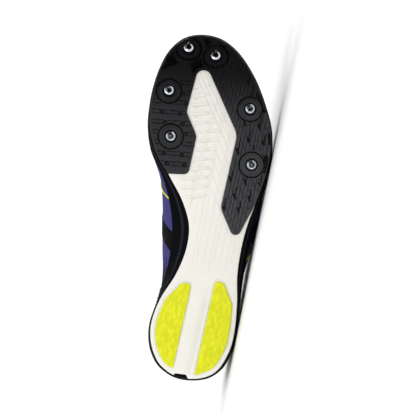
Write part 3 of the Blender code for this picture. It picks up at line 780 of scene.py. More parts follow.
def segment_distance(points, starts, ends):
    """Distance from every point to every segment, as a table."""
    run = ends - starts
    share = ((points[:, None] - starts) * run).sum(-1) / np.maximum((run**2).sum(-1), TINY)
    nearest = starts + np.clip(share, 0, 1)[..., None] * run
    return np.linalg.norm(points[:, None] - nearest, axis=-1)


def batches(points, size=4000):
    return (points[k:k + size] for k in range(0, len(points), size))


def chain_distance(points, chain):
    """Distance from every point to a closed chain."""
    after = np.roll(chain, -1, 0)
    return np.concatenate([segment_distance(some, chain, after).min(1) for some in batches(points)])


def line_relief(points, lines):
    """Relief of straight lines (along, across, along, across, width, height): the strongest one counts."""
    lines = np.array(lines)
    relief = []
    for some in batches(points):
        near = segment_distance(some, lines[:, 0:2], lines[:, 2:4]) / (lines[:, 4] / 2)
        heights = lines[:, 5] * (1 - smooth(0.45, 1.0, near))
        relief.append(heights[np.arange(len(some)), np.abs(heights).argmax(1)])
    return np.concatenate(relief)


def line_way(line, spacing, whole):
    """Points along a line, about spacing apart. whole makes their number a whole one."""
    start, end = np.reshape(line[:4], (2, 2))
    count = max(2, whole(np.linalg.norm(end - start) / spacing))
    return start + (end - start) * np.linspace(0, 1, count + 1)[:, None]


def line_points(lines):
    """Points along both shoulders and both flanks of every line, where its relief changes."""
    points = []
    for line in lines:
        way = line_way(line, 1.1, math.ceil)
        run = unit(way[-1] - way[0])
        aside = np.array([-run[1], run[0]]) * line[4]
        points += [way + aside * shift for shift in (-0.52, -0.24, 0.24, 0.52)]
    return np.concatenate(points)


def ring_points(rings):
    """Points on circles (along, across, radius), with those on a slope drawn in as they lie on the tread."""
    points = []
    for along, over, radius in rings:
        cosines, sines = circle(max(6, math.ceil(math.tau * radius / 0.75)))
        points.append(np.stack([along + radius * slope_cosine(along) * cosines, over + radius * sines], -1))
    return np.concatenate(points)


def thin_out(points, spacing):
    """The points with no two in one small square."""
    _, first = np.unique(np.round(points / spacing).astype(int), axis=0, return_index=True)
    return points[np.sort(first)]


def fill_grid(chain, cell):
    """Points of a triangular grid over a chain's box."""
    low, high = chain.min(0), chain.max(0)
    points = []
    for k, over in enumerate(np.arange(low[1], high[1], cell * ROW_RATIO)):
        along = np.arange(low[0] + (k % 2) * cell / 2, high[0], cell)
        points.append(np.stack([along, np.full(len(along), over)], -1))
    return np.concatenate(points)


def well_inside(points, chain, clear):
    """Those of the points that lie inside a chain and clear of it."""
    points = points[inside(points, chain)]
    return points[chain_distance(points, chain) > clear]


def triangulate(chain, points):
    """Triangles over the inside of a closed chain that use all the points given inside it."""
    every = [Vector(point) for point in np.concatenate([chain, points])]
    made = geometry.delaunay_2d_cdt(every, [], [list(range(len(chain)))], 1, 1e-6)
    return np.array([tuple(spot) for spot in made[0]]), made[2], made[3]


def relief_sheet(chain, bevel, relief, extra, cell, low, high):
    """A sheet on the tread from low to high above the ground, with a rounded edge and relief outside.

    relief gives heights towards the ground at points (along, across). extra are points where it changes.
    """
    loops = [offset(chain, bevel * share) for share in (0.12, 0.45, 1.0)]
    points = well_inside(np.concatenate([extra, fill_grid(chain, cell)]), chain, bevel + 0.15)
    flat, faces, origins = triangulate(chain, np.concatenate([*loops, thin_out(points, 0.32)]))
    count, start = len(chain), len(flat)
    border = [0] * count
    for k, sources in enumerate(origins):
        for source in sources:
            if source < count:
                border[source] = k
    depth = chain_distance(flat, chain)
    depth[border] = 0.0
    rise = relief(flat) * smooth(bevel * 0.6, bevel + 0.5, depth)
    out = rise - bevel * (1 - rounding(depth, bevel))
    along = flat[:, 0]
    slope = slope_at(along)
    face = raised(flat, ground_at(along) + low)
    face += (out * slope_cosine(along))[:, None] * raised(np.stack([slope, 0 * slope], -1), -1.0)
    back_flat, back_faces, _ = triangulate(chain, well_inside(fill_grid(chain, BACK_CELL), chain, 1.5))
    back = raised(back_flat, ground_at(back_flat[:, 0]) + high)
    every = [*faces, *([start + corner for corner in back_face] for back_face in back_faces)]
    every += [[border[k - 1], border[k], start + k, start + (k - 1) % count] for k in range(count)]
    return np.concatenate([face, back]), every, np.concatenate([rise, np.zeros(len(back))])


# Materials

class Look:
    """A node tree and its shader, with short ways to add the nodes that the materials use."""

    def __init__(self, owner, shader="Principled BSDF"):
        owner.use_nodes = True
        self.owner = owner
        self.tree = owner.node_tree
        self.shader = self.tree.nodes[shader]
        self.coordinates = self.add("ShaderNodeTexCoord").outputs

    def add(self, kind, inputs=None, **settings):
        """A node with its settings, and its inputs linked or set."""
        node = self.tree.nodes.new(kind)
        for name, value in settings.items():
            setattr(node, name, value)
        for key, value in (inputs or {}).items():
            socket = node.inputs[key]
            if isinstance(value, bpy.types.NodeSocket):
                self.tree.links.new(value, socket)
            else:
                socket.default_value = (*value, 1.0) if socket.type == "RGBA" else value
        return node

    def link(self, value, socket):
        self.tree.links.new(value, self.shader.inputs[socket])

    def mix(self, factor, first, second):
        return self.add("ShaderNodeMix", {0: factor, 6: first, 7: second}, data_type="RGBA").outputs[2]

    def maths(self, operation, first, second=0.0):
        return self.add("ShaderNodeMath", {0: first, 1: second}, operation=operation).outputs[0]

    def ramp(self, value, low, high, start=0.0, end=1.0):
        """A value between low and high as a smooth step from start to end."""
        inputs = {"Value": value, "From Min": low, "From Max": high, "To Min": start, "To Max": end}
        return self.add("ShaderNodeMapRange", inputs, interpolation_type="SMOOTHSTEP").outputs[0]

    def stretched(self, stretch):
        """The place on the object, with each axis stretched."""
        inputs = {0: self.coordinates["Object"], 1: stretch}
        return self.add("ShaderNodeVectorMath", inputs, operation="MULTIPLY").outputs[0]

    def noise(self, scale, detail=3.0, stretch=(1, 1, 1)):
        inputs = {"Vector": self.stretched(stretch), "Scale": scale, "Detail": detail}
        return self.add("ShaderNodeTexNoise", inputs).outputs[0]

    def value(self, name):
        return self.add("ShaderNodeAttribute", attribute_name=name).outputs["Fac"]

    def weave(self):
        """The weave coordinates in millimetres, as two values."""
        place = self.add("ShaderNodeUVMap", uv_map="weave").outputs[0]
        return self.add("ShaderNodeSeparateXYZ", {0: place}).outputs[:2]

    def waves(self, value, pitch):
        """A wave between -1 and 1 along a value in millimetres."""
        return self.maths("SINE", self.maths("MULTIPLY", value, math.tau / pitch))

    def patchy(self, scale, low, high, detail=3.0):
        """A roughness that varies softly over the surface."""
        return self.ramp(self.noise(scale, detail), 0.3, 0.7, low, high)

    def finish(self, colour, height, strength, distance, rough=None):
        """The material, with its colour, its bump and any varying roughness linked."""
        bump = self.add("ShaderNodeBump", {"Height": height, "Strength": strength, "Distance": distance})
        self.link(colour, "Base Color")
        self.link(bump.outputs[0], "Normal")
        if rough is not None:
            self.link(rough, "Roughness")
        return self.owner


def new_look(name, roughness, shine=0.5, metallic=0.0, sheen=0.0):
    look = Look(bpy.data.materials.new(name))
    constants = {
        "Roughness": roughness, "Specular IOR Level": shine, "Metallic": metallic, "Sheen Weight": sheen,
    }
    for socket, value in constants.items():
        look.shader.inputs[socket].default_value = value
    return look


def white_rubber():
    look = new_look("white_rubber", 0.55)
    rise = look.value("rise")
    body = look.mix(look.noise(55.0), (0.80, 0.775, 0.715), (0.86, 0.838, 0.785))
    # Painted shade: where the rise attribute is below zero (grooves, the trough between the pads and the
    # moulded lines) the white is painted darker. Raised pad rims get a cooler white.
    body = look.mix(look.ramp(rise, -0.02, -0.2), body, (0.62, 0.59, 0.52))
    body = look.mix(look.ramp(rise, 0.04, 0.26), body, (0.80, 0.80, 0.785))
    body = look.mix(look.ramp(look.noise(210.0, 5.0), 0.60, 0.80, 0.0, 0.35), body, (0.72, 0.68, 0.60))
    return look.finish(body, look.noise(2600.0, 2.0), 0.12, 0.0002, look.patchy(400.0, 0.48, 0.64))


def yellow_rubber():
    look = new_look("yellow_rubber", 0.5, 0.2)
    drawn = (0.5, 1.0, 1.0)
    inputs = {"Vector": look.stretched(drawn), "Scale": 420.0, "Smoothness": 1.0}
    cells = look.add("ShaderNodeTexVoronoi", inputs, feature="SMOOTH_F1").outputs[0]
    clouds = look.ramp(look.noise(160.0, 3.0, drawn), 0.35, 0.75, 0.0, 0.6)
    body = look.mix(look.ramp(cells, 0.15, 0.62), (0.775, 0.800, 0.020), (0.665, 0.680, 0.006))
    body = look.mix(clouds, body, (0.700, 0.715, 0.010))
    return look.finish(body, look.noise(2200.0, 2.0), 0.14, 0.0002, look.patchy(500.0, 0.38, 0.55))


def black_plate():
    look = new_look("black_plate", 0.4, 0.07)
    rise, shade = look.value("rise"), look.value("shade")
    grain = look.noise(1500.0, 4.0)
    body = look.mix(look.noise(70.0), (0.048, 0.0485, 0.0525), (0.062, 0.0625, 0.0675))
    # Painted shade: the shade attribute paints the plate darker towards the medial side and the toe. Raised
    # nodule tops are painted lighter as a painted highlight, and recesses, lines and the dips round the
    # bosses are painted near black as painted shade.
    body = look.mix(shade, (0.0075, 0.0075, 0.0085), body)
    body = look.mix(look.ramp(rise, 0.02, 0.16), body, (0.060, 0.060, 0.064))
    body = look.mix(look.ramp(rise, -0.02, -0.22), body, (0.0015, 0.0015, 0.002))
    rough = look.ramp(grain, 0.3, 0.7, 0.38, 0.54)
    rough = look.maths("MULTIPLY", rough, look.ramp(shade, 0.0, 0.6, 0.62, 1.0))
    return look.finish(body, grain, 0.25, 0.00025, rough)


def black_foam():
    look = new_look("black_foam", 0.6, 0.025)
    body = look.mix(look.noise(90.0), (0.0018, 0.0020, 0.0034), (0.0038, 0.0040, 0.0062))
    # Painted highlight: the bead along the side wall is painted a lighter grey.
    body = look.mix(look.value("bead"), body, (0.0165, 0.0180, 0.0225))
    return look.finish(body, look.noise(1800.0), 0.2, 0.0002, look.patchy(260.0, 0.52, 0.68))


def purple_mesh():
    """Knitted mesh: small open cells, a fine rib, and a black fleck print that thickens to the heel."""
    look = new_look("purple_mesh", 0.85, 0.06)
    girth, rib = look.weave()
    hole = look.ramp(look.maths("MULTIPLY", look.waves(girth, 3.4), look.waves(rib, 2.6)), 0.25, 0.75)
    thread = look.waves(girth, 0.62)
    body = look.mix(look.noise(130.0), (0.038, 0.035, 0.150), (0.066, 0.060, 0.232))
    # Painted highlight: the crests of the fine rib's threads are painted lighter.
    body = look.mix(look.ramp(thread, -0.9, 0.6, 0.0, 0.35), body, (0.100, 0.092, 0.310))
    body = look.mix(hole, body, (0.015, 0.012, 0.055))
    level = look.ramp(look.value("along"), 62.0, 122.0, 0.20, 0.80)
    flecks = look.maths("SUBTRACT", look.noise(175.0, 2.0, (0.55, 1.9, 1.0)), level)
    body = look.mix(look.ramp(flecks, -0.015, 0.015), body, (0.010, 0.010, 0.013))
    height = look.maths("SUBTRACT", look.maths("MULTIPLY", thread, 0.18), hole)
    return look.finish(body, height, 0.55, 0.0005)


def black_film(name, shine, dark, light):
    look = new_look(name, 0.55, shine)
    inputs = {"Vector": look.coordinates["Object"], "Scale": 900.0}
    grain = look.add("ShaderNodeTexVoronoi", inputs).outputs[0]
    body = look.mix(look.noise(160.0), dark, light)
    return look.finish(body, grain, 0.22, 0.0002, look.patchy(300.0, 0.48, 0.64))


def knit(name, dark, light, pitch):
    """A close knit with slanting stitches, for the lining and the tongue."""
    look = new_look(name, 0.9, 0.15, sheen=0.2)
    girth, rib = look.weave()
    slants = [look.waves(look.maths(way, girth, rib), pitch) for way in ("ADD", "SUBTRACT")]
    stitch = look.maths("MAXIMUM", *slants)
    body = look.mix(look.ramp(stitch, -0.6, 0.9), dark, light)
    body = look.mix(look.ramp(look.noise(90.0), 0.35, 0.75, 0.0, 0.5), body, dark)
    return look.finish(body, stitch, 0.4, 0.0004)


def woven_lace():
    look = new_look("woven_lace", 0.85, 0.15, sheen=0.2)
    length, width = look.weave()
    folded = look.maths("MULTIPLY", look.maths("ABSOLUTE", width), 1.1)
    chevron = look.waves(look.maths("ADD", length, folded), 1.25)
    height = look.maths("ADD", chevron, look.maths("MULTIPLY", look.waves(width, 0.7), 0.4))
    body = look.mix(look.ramp(height, -1.0, 1.1), (0.008, 0.008, 0.010), (0.042, 0.042, 0.047))
    return look.finish(body, height, 0.6, 0.0004)


def turned_steel():
    look = new_look("turned_steel", 0.2, metallic=1.0)
    body = look.mix(look.noise(300.0), (0.62, 0.66, 0.69), (0.76, 0.80, 0.83))
    # Painted reflection: the dark attribute paints the inner flange and the pin dark steel, in place of the
    # dark reflections there.
    body = look.mix(look.value("dark"), body, (0.055, 0.060, 0.066))
    marks = look.noise(3000.0, 2.0, (1, 6, 1))
    return look.finish(body, marks, 0.06, 0.0001, look.patchy(900.0, 0.13, 0.30, 4.0))


def yellow_film():
    look = new_look("yellow_film", 0.5)
    body = look.mix(look.noise(400.0), (0.70, 0.62, 0.010), (0.82, 0.74, 0.022))
    return look.finish(body, look.noise(2400.0), 0.15, 0.0002, look.patchy(600.0, 0.42, 0.58))


def thread(name, dark, light):
    look = new_look(name, 0.8, 0.2)
    strands = look.noise(1700.0)
    body = look.mix(look.ramp(strands, 0.35, 0.65), dark, light)
    return look.finish(body, strands, 0.3, 0.0002)


def pale_floor():
    look = new_look("pale_floor", 0.85)
    body = look.mix(look.noise(6.0), (0.91, 0.91, 0.915), (0.925, 0.925, 0.93))
    return look.finish(body, look.noise(700.0), 0.03, 0.0004)


WHITE_RUBBER = white_rubber()
YELLOW_RUBBER = yellow_rubber()
BLACK_PLATE = black_plate()
BLACK_FOAM = black_foam()
PURPLE_MESH = purple_mesh()
BLACK_FILM = black_film("black_film", 0.08, (0.006, 0.006, 0.007), (0.012, 0.012, 0.014))
MATTE_FILM = black_film("matte_film", 0.01, (0.0020, 0.0020, 0.0020), (0.0042, 0.0042, 0.0042))
LINING = knit("lining_knit", (0.010, 0.010, 0.012), (0.040, 0.040, 0.046), 1.5)
TONGUE_KNIT = knit("tongue_knit", (0.010, 0.010, 0.012), (0.052, 0.050, 0.062), 1.9)
LACE_WEAVE = woven_lace()
STEEL = turned_steel()
YELLOW_FILM = yellow_film()
BLACK_THREAD = thread("black_thread", (0.012, 0.012, 0.014), (0.05, 0.05, 0.055))
PALE_THREAD = thread("purple_thread", (0.06, 0.055, 0.16), (0.16, 0.15, 0.34))


# The sole

def tread_edge(turns, count, inset=0.0):
    """A stretch of the tread's edge, as corners without a radius."""
    return raised(outline("tread", np.linspace(*turns, count), inset), 0.0)


PLATE_CHAIN = resample(rounded([*tread_edge(PLATE_TURNS, PLATE_EDGE_POINTS), *PLATE_CORNERS]), 1.6)
PLATE_INSIDE = offset(PLATE_CHAIN, PLATE_RIM)
PAD_CHAINS = {
    name: resample(rounded([*corners, *tread_edge(turns, PAD_EDGE_POINTS, PAD_INSET)]), 1.4)
    for name, corners, turns in PADS
}


def slanted(start, heading, reach, width, height):
    """A line of a given heading in degrees from the shoe's length."""
    turn = math.radians(heading)
    along, over = start
    return (along, over, along + reach * math.cos(turn), over + reach * math.sin(turn), width, height)


def clip_lines(lines, keep):
    """The stretches of lines whose points all pass a test, as shorter lines."""
    made = []
    for line in lines:
        way = line_way(line, 0.8, round)
        changes = np.flatnonzero(np.diff(np.concatenate([[0], keep(way), [0]])))
        for first, end in changes.reshape(-1, 2):
            if end - first > 2:
                made.append((*way[first], *way[end - 1], *line[4:]))
    return made


def window_edge(along):
    """How far across the lateral edge of the plate's window lies."""
    return float(np.interp(along, *WINDOW_EDGE))


def base_lines():
    """Faint moulded lines: pairs across the medial half, long ones down the waist, a weave in the window."""
    lines = []
    for along in np.arange(*PAIR_ROWS):
        reach = window_edge(along) - 1.0
        lines.append(slanted((along, -12.0), BAR_HEADING, reach, 1.1, 0.13))
        lines.append(slanted((along + 2.2, -12.0), BAR_HEADING, reach - 3.0, 0.9, 0.11))
        for over in (-4.0, 6.5):
            lines.append(slanted((along + 1.0 + 0.35 * over, over), BAR_HEADING, 2.2, 2.4, 0.11))
    for over in np.arange(*WAIST_ROWS):
        lines.append(slanted((88.0 + 1.7 * (over % 7.0), over - 12.0), *WAIST_LINE))
    for over in np.arange(*LONG_ROWS):
        lines.append(slanted((128.0 + 3.0 * (over % 9.0), over), *LONG_LINE))
    for step in (3.6, 7.2, 10.8):
        lines.append(slanted((196.0 - 0.43 * step, 33.0 - 0.9 * step), *EDGE_LINE))
    for along in np.arange(*CROSS_ROWS):
        lines.append(slanted((along, window_edge(along)), *CROSS_LINE))
    return lines


def rim_lines():
    """A slim raised rim round each heel pad."""
    out, width, height = PAD_RIM
    lines = []
    for chain in PAD_CHAINS.values():
        loop = offset(chain, -out)
        lines += [(*a, *b, width, height) for a, b in zip(loop, np.roll(loop, -1, 0))]
    return lines


def centre_groove(points):
    """The soft trough between the pads, which fades out in the waist."""
    along, over = points[:, 0], points[:, 1]
    fade = smooth(*TROUGH_STARTS, along) * (1 - smooth(*TROUGH_ENDS, along))
    return -TROUGH_DEPTH * fade * hump(TROUGH_HEEL + TROUGH_SLANT * along, TROUGH_WIDTH, over)


def make_base():
    turns = np.linspace(0, RING_ROWS, BASE_EDGE_POINTS, endpoint=False)
    chain = outline("tread", turns, smooth(*PLATE_COVERS_FROM, rows_from_heel(turns)))
    edge = outline("tread", np.linspace(0, RING_ROWS, INNER_EDGE_POINTS, endpoint=False), LINES_INSET)
    covers = [offset(PLATE_CHAIN, -PLATE_RIM), *(offset(pad, -PAD_CLEARANCE) for pad in PAD_CHAINS.values())]

    def bare(way):
        return inside(way, edge) & ~np.any([inside(way, cover) for cover in covers], 0)

    moulded = clip_lines(base_lines(), bare)
    lines = moulded + rim_lines()

    def relief(points):
        return line_relief(points, lines) + centre_groove(points)

    heights = (TREAD_PROUD, TREAD_PROUD + BASE_THICKNESS)
    points, faces, rises = relief_sheet(chain, BASE_CHAMFER, relief, line_points(lines), BASE_CELL, *heights)
    # Painted shade for the base: the moulded lines are painted dark, the other relief is painted by its
    # height, and most of the trough's painted shade is taken back out.
    drawn = line_relief(points[:, :2], moulded)
    painted_relief_light = np.where(drawn > 0.01, -drawn, rises - TROUGH_SHADE_TAKEN_OUT * centre_groove(points))
    base = add_piece("sole_base", points, faces, WHITE_RUBBER, "base", ("base_sole",), rise=painted_relief_light)
    cut(base, *tube(np.stack([raised(HEEL_NOTCH, height) for height in NOTCH_HEIGHTS])))


def pebbles(points):
    """Low round pebbles on a slightly uneven triangular net."""
    row_step = PEBBLE_SPACING * ROW_RATIO
    rows = np.round(points[:, 1] / row_step)
    relief = np.zeros(len(points))
    for step, beside in np.ndindex(3, 3):
        row = rows + step - 1
        shift = np.where(row % 2 == 0, 0.0, PEBBLE_SPACING / 2)
        column = np.round((points[:, 0] - shift) / PEBBLE_SPACING) + beside - 1
        along = column * PEBBLE_SPACING + shift + np.sin(column * 12.9 + row * 78.2) * PEBBLE_JITTER
        over = row * row_step + np.cos(column * 39.4 + row * 11.1) * PEBBLE_JITTER
        near = np.hypot(points[:, 0] - along, points[:, 1] - over)
        relief = np.maximum(relief, 1 - smooth(*PEBBLE_RADII, near))
    return relief * PEBBLE_HEIGHT


def make_pads():
    for name, chain in PAD_CHAINS.items():
        extra = fill_grid(chain, PEBBLE_CELL)
        points, faces, _ = relief_sheet(chain, PAD_BEVEL, pebbles, extra, PAD_CELL, 0.0, TREAD_PROUD)
        add_piece("rubber_" + name, points, faces, YELLOW_RUBBER, "pad", (name,))


def boss_distance(points):
    """Distance to the nearest spike, measured on the tread's slope."""
    spots = np.array([place[1:] for place in PIN_PLACES])
    lean = slope_cosine(spots[:, 0])
    return np.hypot((points[:, None, 0] - spots[:, 0]) / lean, points[:, None, 1] - spots[:, 1]).min(1)


def arm_lattice():
    """Lateral arm: fine lines down the arm, faint ones that cross them, and staggered ticks."""
    lines = [slanted((112.0, over), *ARM_LINE) for over in np.arange(*ARM_ROWS)]
    lines += [slanted((along, 16.0), *ARM_CROSS) for along in np.arange(*ARM_CROSS_ROWS)]
    for row, column in np.ndindex(11, 5):
        along = 143.7 + 11.4 * row - 2.0 * column
        over = 21.2 + 12.0 * column + 2.5 * row - 6.0 * (row % 2)
        lines.append(slanted((along, over), *TICK_SHORT))
        lines.append(slanted((along - 3.3, over + 1.3), *TICK_LONG))
    return lines


def arm_bars():
    """Medial arm: pairs of lines straight across it."""
    places = [along + step for along in np.arange(*ARM_BAR_ROWS) for step in (0.0, BAR_GAP)]
    return [slanted((along, -44.0), *ARM_BAR) for along in places]


def on_plain_plate(way):
    """In from the plate's edge, clear of the bosses and behind the smooth toe."""
    toe = np.interp(way[:, 1], *SMOOTH_TOE)
    return inside(way, PLATE_INSIDE) & (boss_distance(way) >= BOSS_RADII[-1]) & (way[:, 0] < toe)


def on_lateral_arm(way):
    """The lateral side of the window, and in front of it."""
    return way[:, 1] > np.interp(way[:, 0], *ARM_EDGE)


def plate_dots():
    """Nodules (along, across) in pairs on the medial arm."""
    dots = []
    for row in range(DOT_ROWS):
        along = 175.7 + 8.3 * row
        dots += [(along + 0.4, -24.8 - 2.6 * (row % 3)), (along - 0.6, -10.6 - 2.4 * (row % 3))]
    dots = np.array(dots)
    return dots[on_plain_plate(dots)]


def painted_plate_shade(points):
    """Painted shade over the plate: charcoal on the lateral arm, painted darker on the medial arm and going
    forward, and black at the toe.
    """
    along, over = points[:, 0], points[:, 1]
    side = 0.6 + 0.4 * smooth(-6.0, 16.0, over)
    forward = 1 - 0.3 * smooth(140.0, 205.0, along)
    return side * forward * (1 - smooth(203.0, 256.0, along + 0.2 * np.minimum(over, 0.0)))


def dot_relief(points, dots):
    """A round pit with a small bump in its middle at every dot."""
    relief = np.zeros(len(points))
    for dot in dots:
        near = np.linalg.norm(points - dot, axis=1)
        relief += np.where(near < DOT_RADII[-1], np.interp(near, DOT_RADII, DOT_HEIGHTS), 0.0)
    return relief


def recess_relief(points):
    """Smooth recesses at the toe, with bars left standing between them, and along the lateral edge."""
    relief = np.zeros(len(points))
    for corners in RECESSES:
        chain = resample(np.array(corners), 1.5)
        within = np.where(inside(points, chain), chain_distance(points, chain), 0.0)
        relief = np.minimum(relief, -RECESS_DEPTH * smooth(0.0, RECESS_SLOPE, within))
    return relief


def make_plate():
    lines = clip_lines(arm_lattice(), lambda way: on_plain_plate(way) & on_lateral_arm(way))
    lines += clip_lines(arm_bars(), lambda way: on_plain_plate(way) & ~on_lateral_arm(way))
    dots = plate_dots()

    def relief(points):
        near = boss_distance(points)
        pits = dot_relief(points, dots)
        fine = np.where(pits == 0, line_relief(points, lines), pits)
        bosses = np.interp(near, BOSS_RADII, BOSS_HEIGHTS)
        return np.where(near < BOSS_RADII[-1], bosses, np.minimum(fine, recess_relief(points)))

    rings = [(*place[1:], radius) for place in PIN_PLACES for radius in BOSS_RADII[1:]]
    rings += [(*dot, radius) for dot in dots for radius in DOT_RADII[1:]]
    recesses = [resample(np.array(corners), 1.0) for corners in RECESSES]
    shores = [offset(chain, RECESS_SLOPE * share) for chain in recesses for share in (0.0, 0.5, 1.0)]
    extra = np.concatenate([ring_points(rings), line_points(lines), *shores])
    points, faces, rises = relief_sheet(PLATE_CHAIN, PLATE_BEVEL, relief, extra, PLATE_CELL, 0.0, TREAD_PROUD)
    # Painted shade and highlight for the plate: the dips round the bosses are painted by their radius,
    # elsewhere the relief is painted by its own height.
    near = boss_distance(points)
    painted_relief_light = np.where(near < BOSS_RADII[-1], np.interp(near, BOSS_RADII, BOSS_PAINTED_SHADE), rises)
    values = {"rise": painted_relief_light, "shade": painted_plate_shade(points)}
    add_piece("plate_tread", points, faces, BLACK_PLATE, "plate", ("spike_plate",), **values)


def make_pins():
    # The painted dark reflection of every profile point, for each of its sides.
    painted_darks = np.repeat(PIN_PAINTED_DARKS, PIN_SIDES)
    for name, along, over in PIN_PLACES:
        place = standing((along, over, ground_at(along)), (slope_at(along), 0, -1))
        points, faces = ring_skin(turned_rings(PIN_PROFILE, PIN_SIDES, place))
        add_piece("pin_" + name, points, faces, STEEL, "spike", ("spike_" + name,), sharp=35, dark=painted_darks)


def across(first, last, count):
    """Points between two sides, without the sides themselves."""
    shares = np.linspace(0, 1, count + 2)[1:-1]
    return first[:, None] + (last - first)[:, None] * shares[:, None]


def sole_rings(wall, stations, under, over):
    """Rings round the sole from heel to toe: a wall either side, and points under and over between."""
    turns = np.linspace(0, LAST_ROW, stations)
    side, other = wall(turns), wall(RING_ROWS - turns)
    below, above = across(side[:, 0], other[:, 0], under), across(other[:, -1], side[:, -1], over)
    return np.concatenate([below, other, above, side[:, ::-1]], 1)


def make_midsole():
    shares = np.sort(np.concatenate([np.linspace(*points) for points in WALL_POINTS]))
    outs = np.interp(shares, WALL_SHARES, WALL_OUTS)
    between = 5

    def wall(turns):
        tread, rand = outline("tread", turns, WALL_FOOT_INSET), outline("rand", turns)
        outward = unit(rand - outline("rand", turns, 1.0))
        flat = tread[:, None] + (rand - tread)[:, None] * shares[:, None] + outward[:, None] * outs[:, None]
        low = ground_at(flat[..., 0]) + TREAD_PROUD + BASE_THICKNESS + GAP
        side = raised(flat, low + (rand_height(flat[..., 0]) - low) * shares)
        ledge, bed = outline("rand", turns, LEDGE_INSET), outline("rand", turns, FOOTBED_INSET)
        inner = (raised(ledge, rand_height(ledge[:, 0])), raised(bed, footbed_height(bed[:, 0])))
        return np.concatenate([side, np.stack(inner, 1)], 1)

    rings = sole_rings(wall, MIDSOLE_RINGS, between, between)
    # The painted highlight along the bead, where the wall stands out most.
    bead = np.concatenate([smooth(0.25, 0.8, outs), [0.0, 0.0]])
    plain = np.zeros(between)
    beads = np.tile(np.concatenate([plain, bead, plain, bead[::-1]]), len(rings))
    add_piece("foam_midsole", *ring_skin(rings), BLACK_FOAM, "midsole", ("midsole",), sharp=40, bead=beads)


def make_insole():
    def wall(turns):
        edge = []
        for inset, lift in INSOLE_EDGE:
            flat = outline("rand", turns, FOOTBED_INSET + inset)
            edge.append(raised(flat, footbed_height(flat[:, 0]) + GAP + lift))
        return np.stack(edge, 1)

    points, faces = ring_skin(sole_rings(wall, INSOLE_RINGS, 3, 24))
    add_piece("footbed", points, faces, LINING, "lining", ("insole",), weave=points[faces][..., :2])


# The upper

EYELETS = [
    (turn, float(share_from_edge(turn, EYELET_FROM_EDGE)))
    for row in EYELET_TURNS for turn in (row, RING_ROWS - row)
]


def eyelet_drills():
    places = (standing(rib_point(*eyelet), rib_normal(*eyelet)) for eyelet in EYELETS)
    return join(tube(turned_rings(EYELET_DRILL, EYELET_SIDES, place)) for place in places)


def make_upper():
    turns = np.linspace(0, RING_ROWS, RING_ROWS * RIBS_A_ROW, endpoint=False)[:, None]
    outer = upper_at(turns, OUTER_SHARES, relief_of_upper(turns, OUTER_SHARES))
    lining = upper_at(turns, INNER_SHARES, -wall_at(turns, INNER_SHARES))
    lining[:, -1, 2] = outer[:, 0, 2]
    crest = upper_at(turns, 1.0, -wall_at(turns, 1.0) * CREST_STEPS)
    rings = np.concatenate([outer, crest, lining], 1)
    rows, columns = rings.shape[:2]
    faces = grid_faces(rows, columns, True, True)
    girth = lengths_along(rings[:, len(OUTER_SHARES) // 3])
    girth = np.append(girth, girth[-1] + girth[1])
    row = faces // columns
    row[(np.ptp(row, 1) > 1)[:, None] & (row == 0)] = rows
    weave = np.stack([girth[row], lengths_along(rings, 1).ravel()[faces]], -1)
    lined = faces.min(1) % columns > len(OUTER_SHARES)
    points = rings.reshape(-1, 3)
    upper = add_piece(
        "mesh_upper", points, faces, PURPLE_MESH, "upper", ("upper",),
        weave=weave, lined=lined, along=points[:, 0],
    )
    cut(upper, *eyelet_drills())


def film_lift(near, ends, radius):
    """Lift of a film overlay with rounded edges, near its sides and its ends."""
    return FILM_FOOT + FILM_RISE * rounding(np.minimum(near, ends[:, None]), radius)


def counter_top(turns):
    """The share of a rib that the heel counter reaches."""
    return COUNTER_SHARE * (1 - COUNTER_TAPER * smooth(0.2, 1.0, np.abs(turns) / COUNTER_TURNS))


def make_counter():
    turns = np.linspace(-COUNTER_TURNS, COUNTER_TURNS, COUNTER_RINGS)
    lengths = rib_length(turns)
    widths = (counter_top(turns) - COUNTER_LOW_SHARE) * lengths
    distances = np.stack([edge_steps(width, COUNTER_EDGE, 16) for width in widths])
    shares = COUNTER_LOW_SHARE + distances / lengths[:, None]
    near = np.minimum(distances, widths[:, None] - distances)
    lift = film_lift(near, (COUNTER_TURNS - np.abs(turns)) * 12.0 + 0.25, COUNTER_EDGE)
    points, faces = skin(turns[:, None], shares, lift)
    add_piece("heel_cup", points, faces, BLACK_FILM, "overlay", ("heel_counter",))


def make_eyestay():
    turns = np.linspace(EYESTAY_TURN, RING_ROWS - EYESTAY_TURN, EYESTAY_RINGS)
    width = EYESTAY_WIDTH - EYESTAY_INSET
    distances = edge_steps(width, EYESTAY_EDGE, 22)
    shares = share_from_edge(turns[:, None], EYESTAY_WIDTH - distances)
    near = np.minimum(distances, width - distances)
    lift = film_lift(near, (rows_from_heel(turns) - EYESTAY_TURN) * 16.0 + 0.2, EYESTAY_EDGE)
    spots = rib_point(turns[:, None], shares)
    for eyelet in EYELETS:
        lift += 0.28 * hump(3.3, 0.75, np.linalg.norm(spots - rib_point(*eyelet), axis=-1))
    points, faces = skin(turns[:, None], shares, lift)
    stay = add_piece("lace_stay", points, faces, BLACK_FILM, "overlay", ("eyestay",))
    cut(stay, *eyelet_drills())


def climb_to_stay(turns, foot, climb):
    """Shares that climb from the foot of a rib to just under the eyestay."""
    return foot + (share_from_edge(turns, EYESTAY_WIDTH - TUCK) - foot) * climb


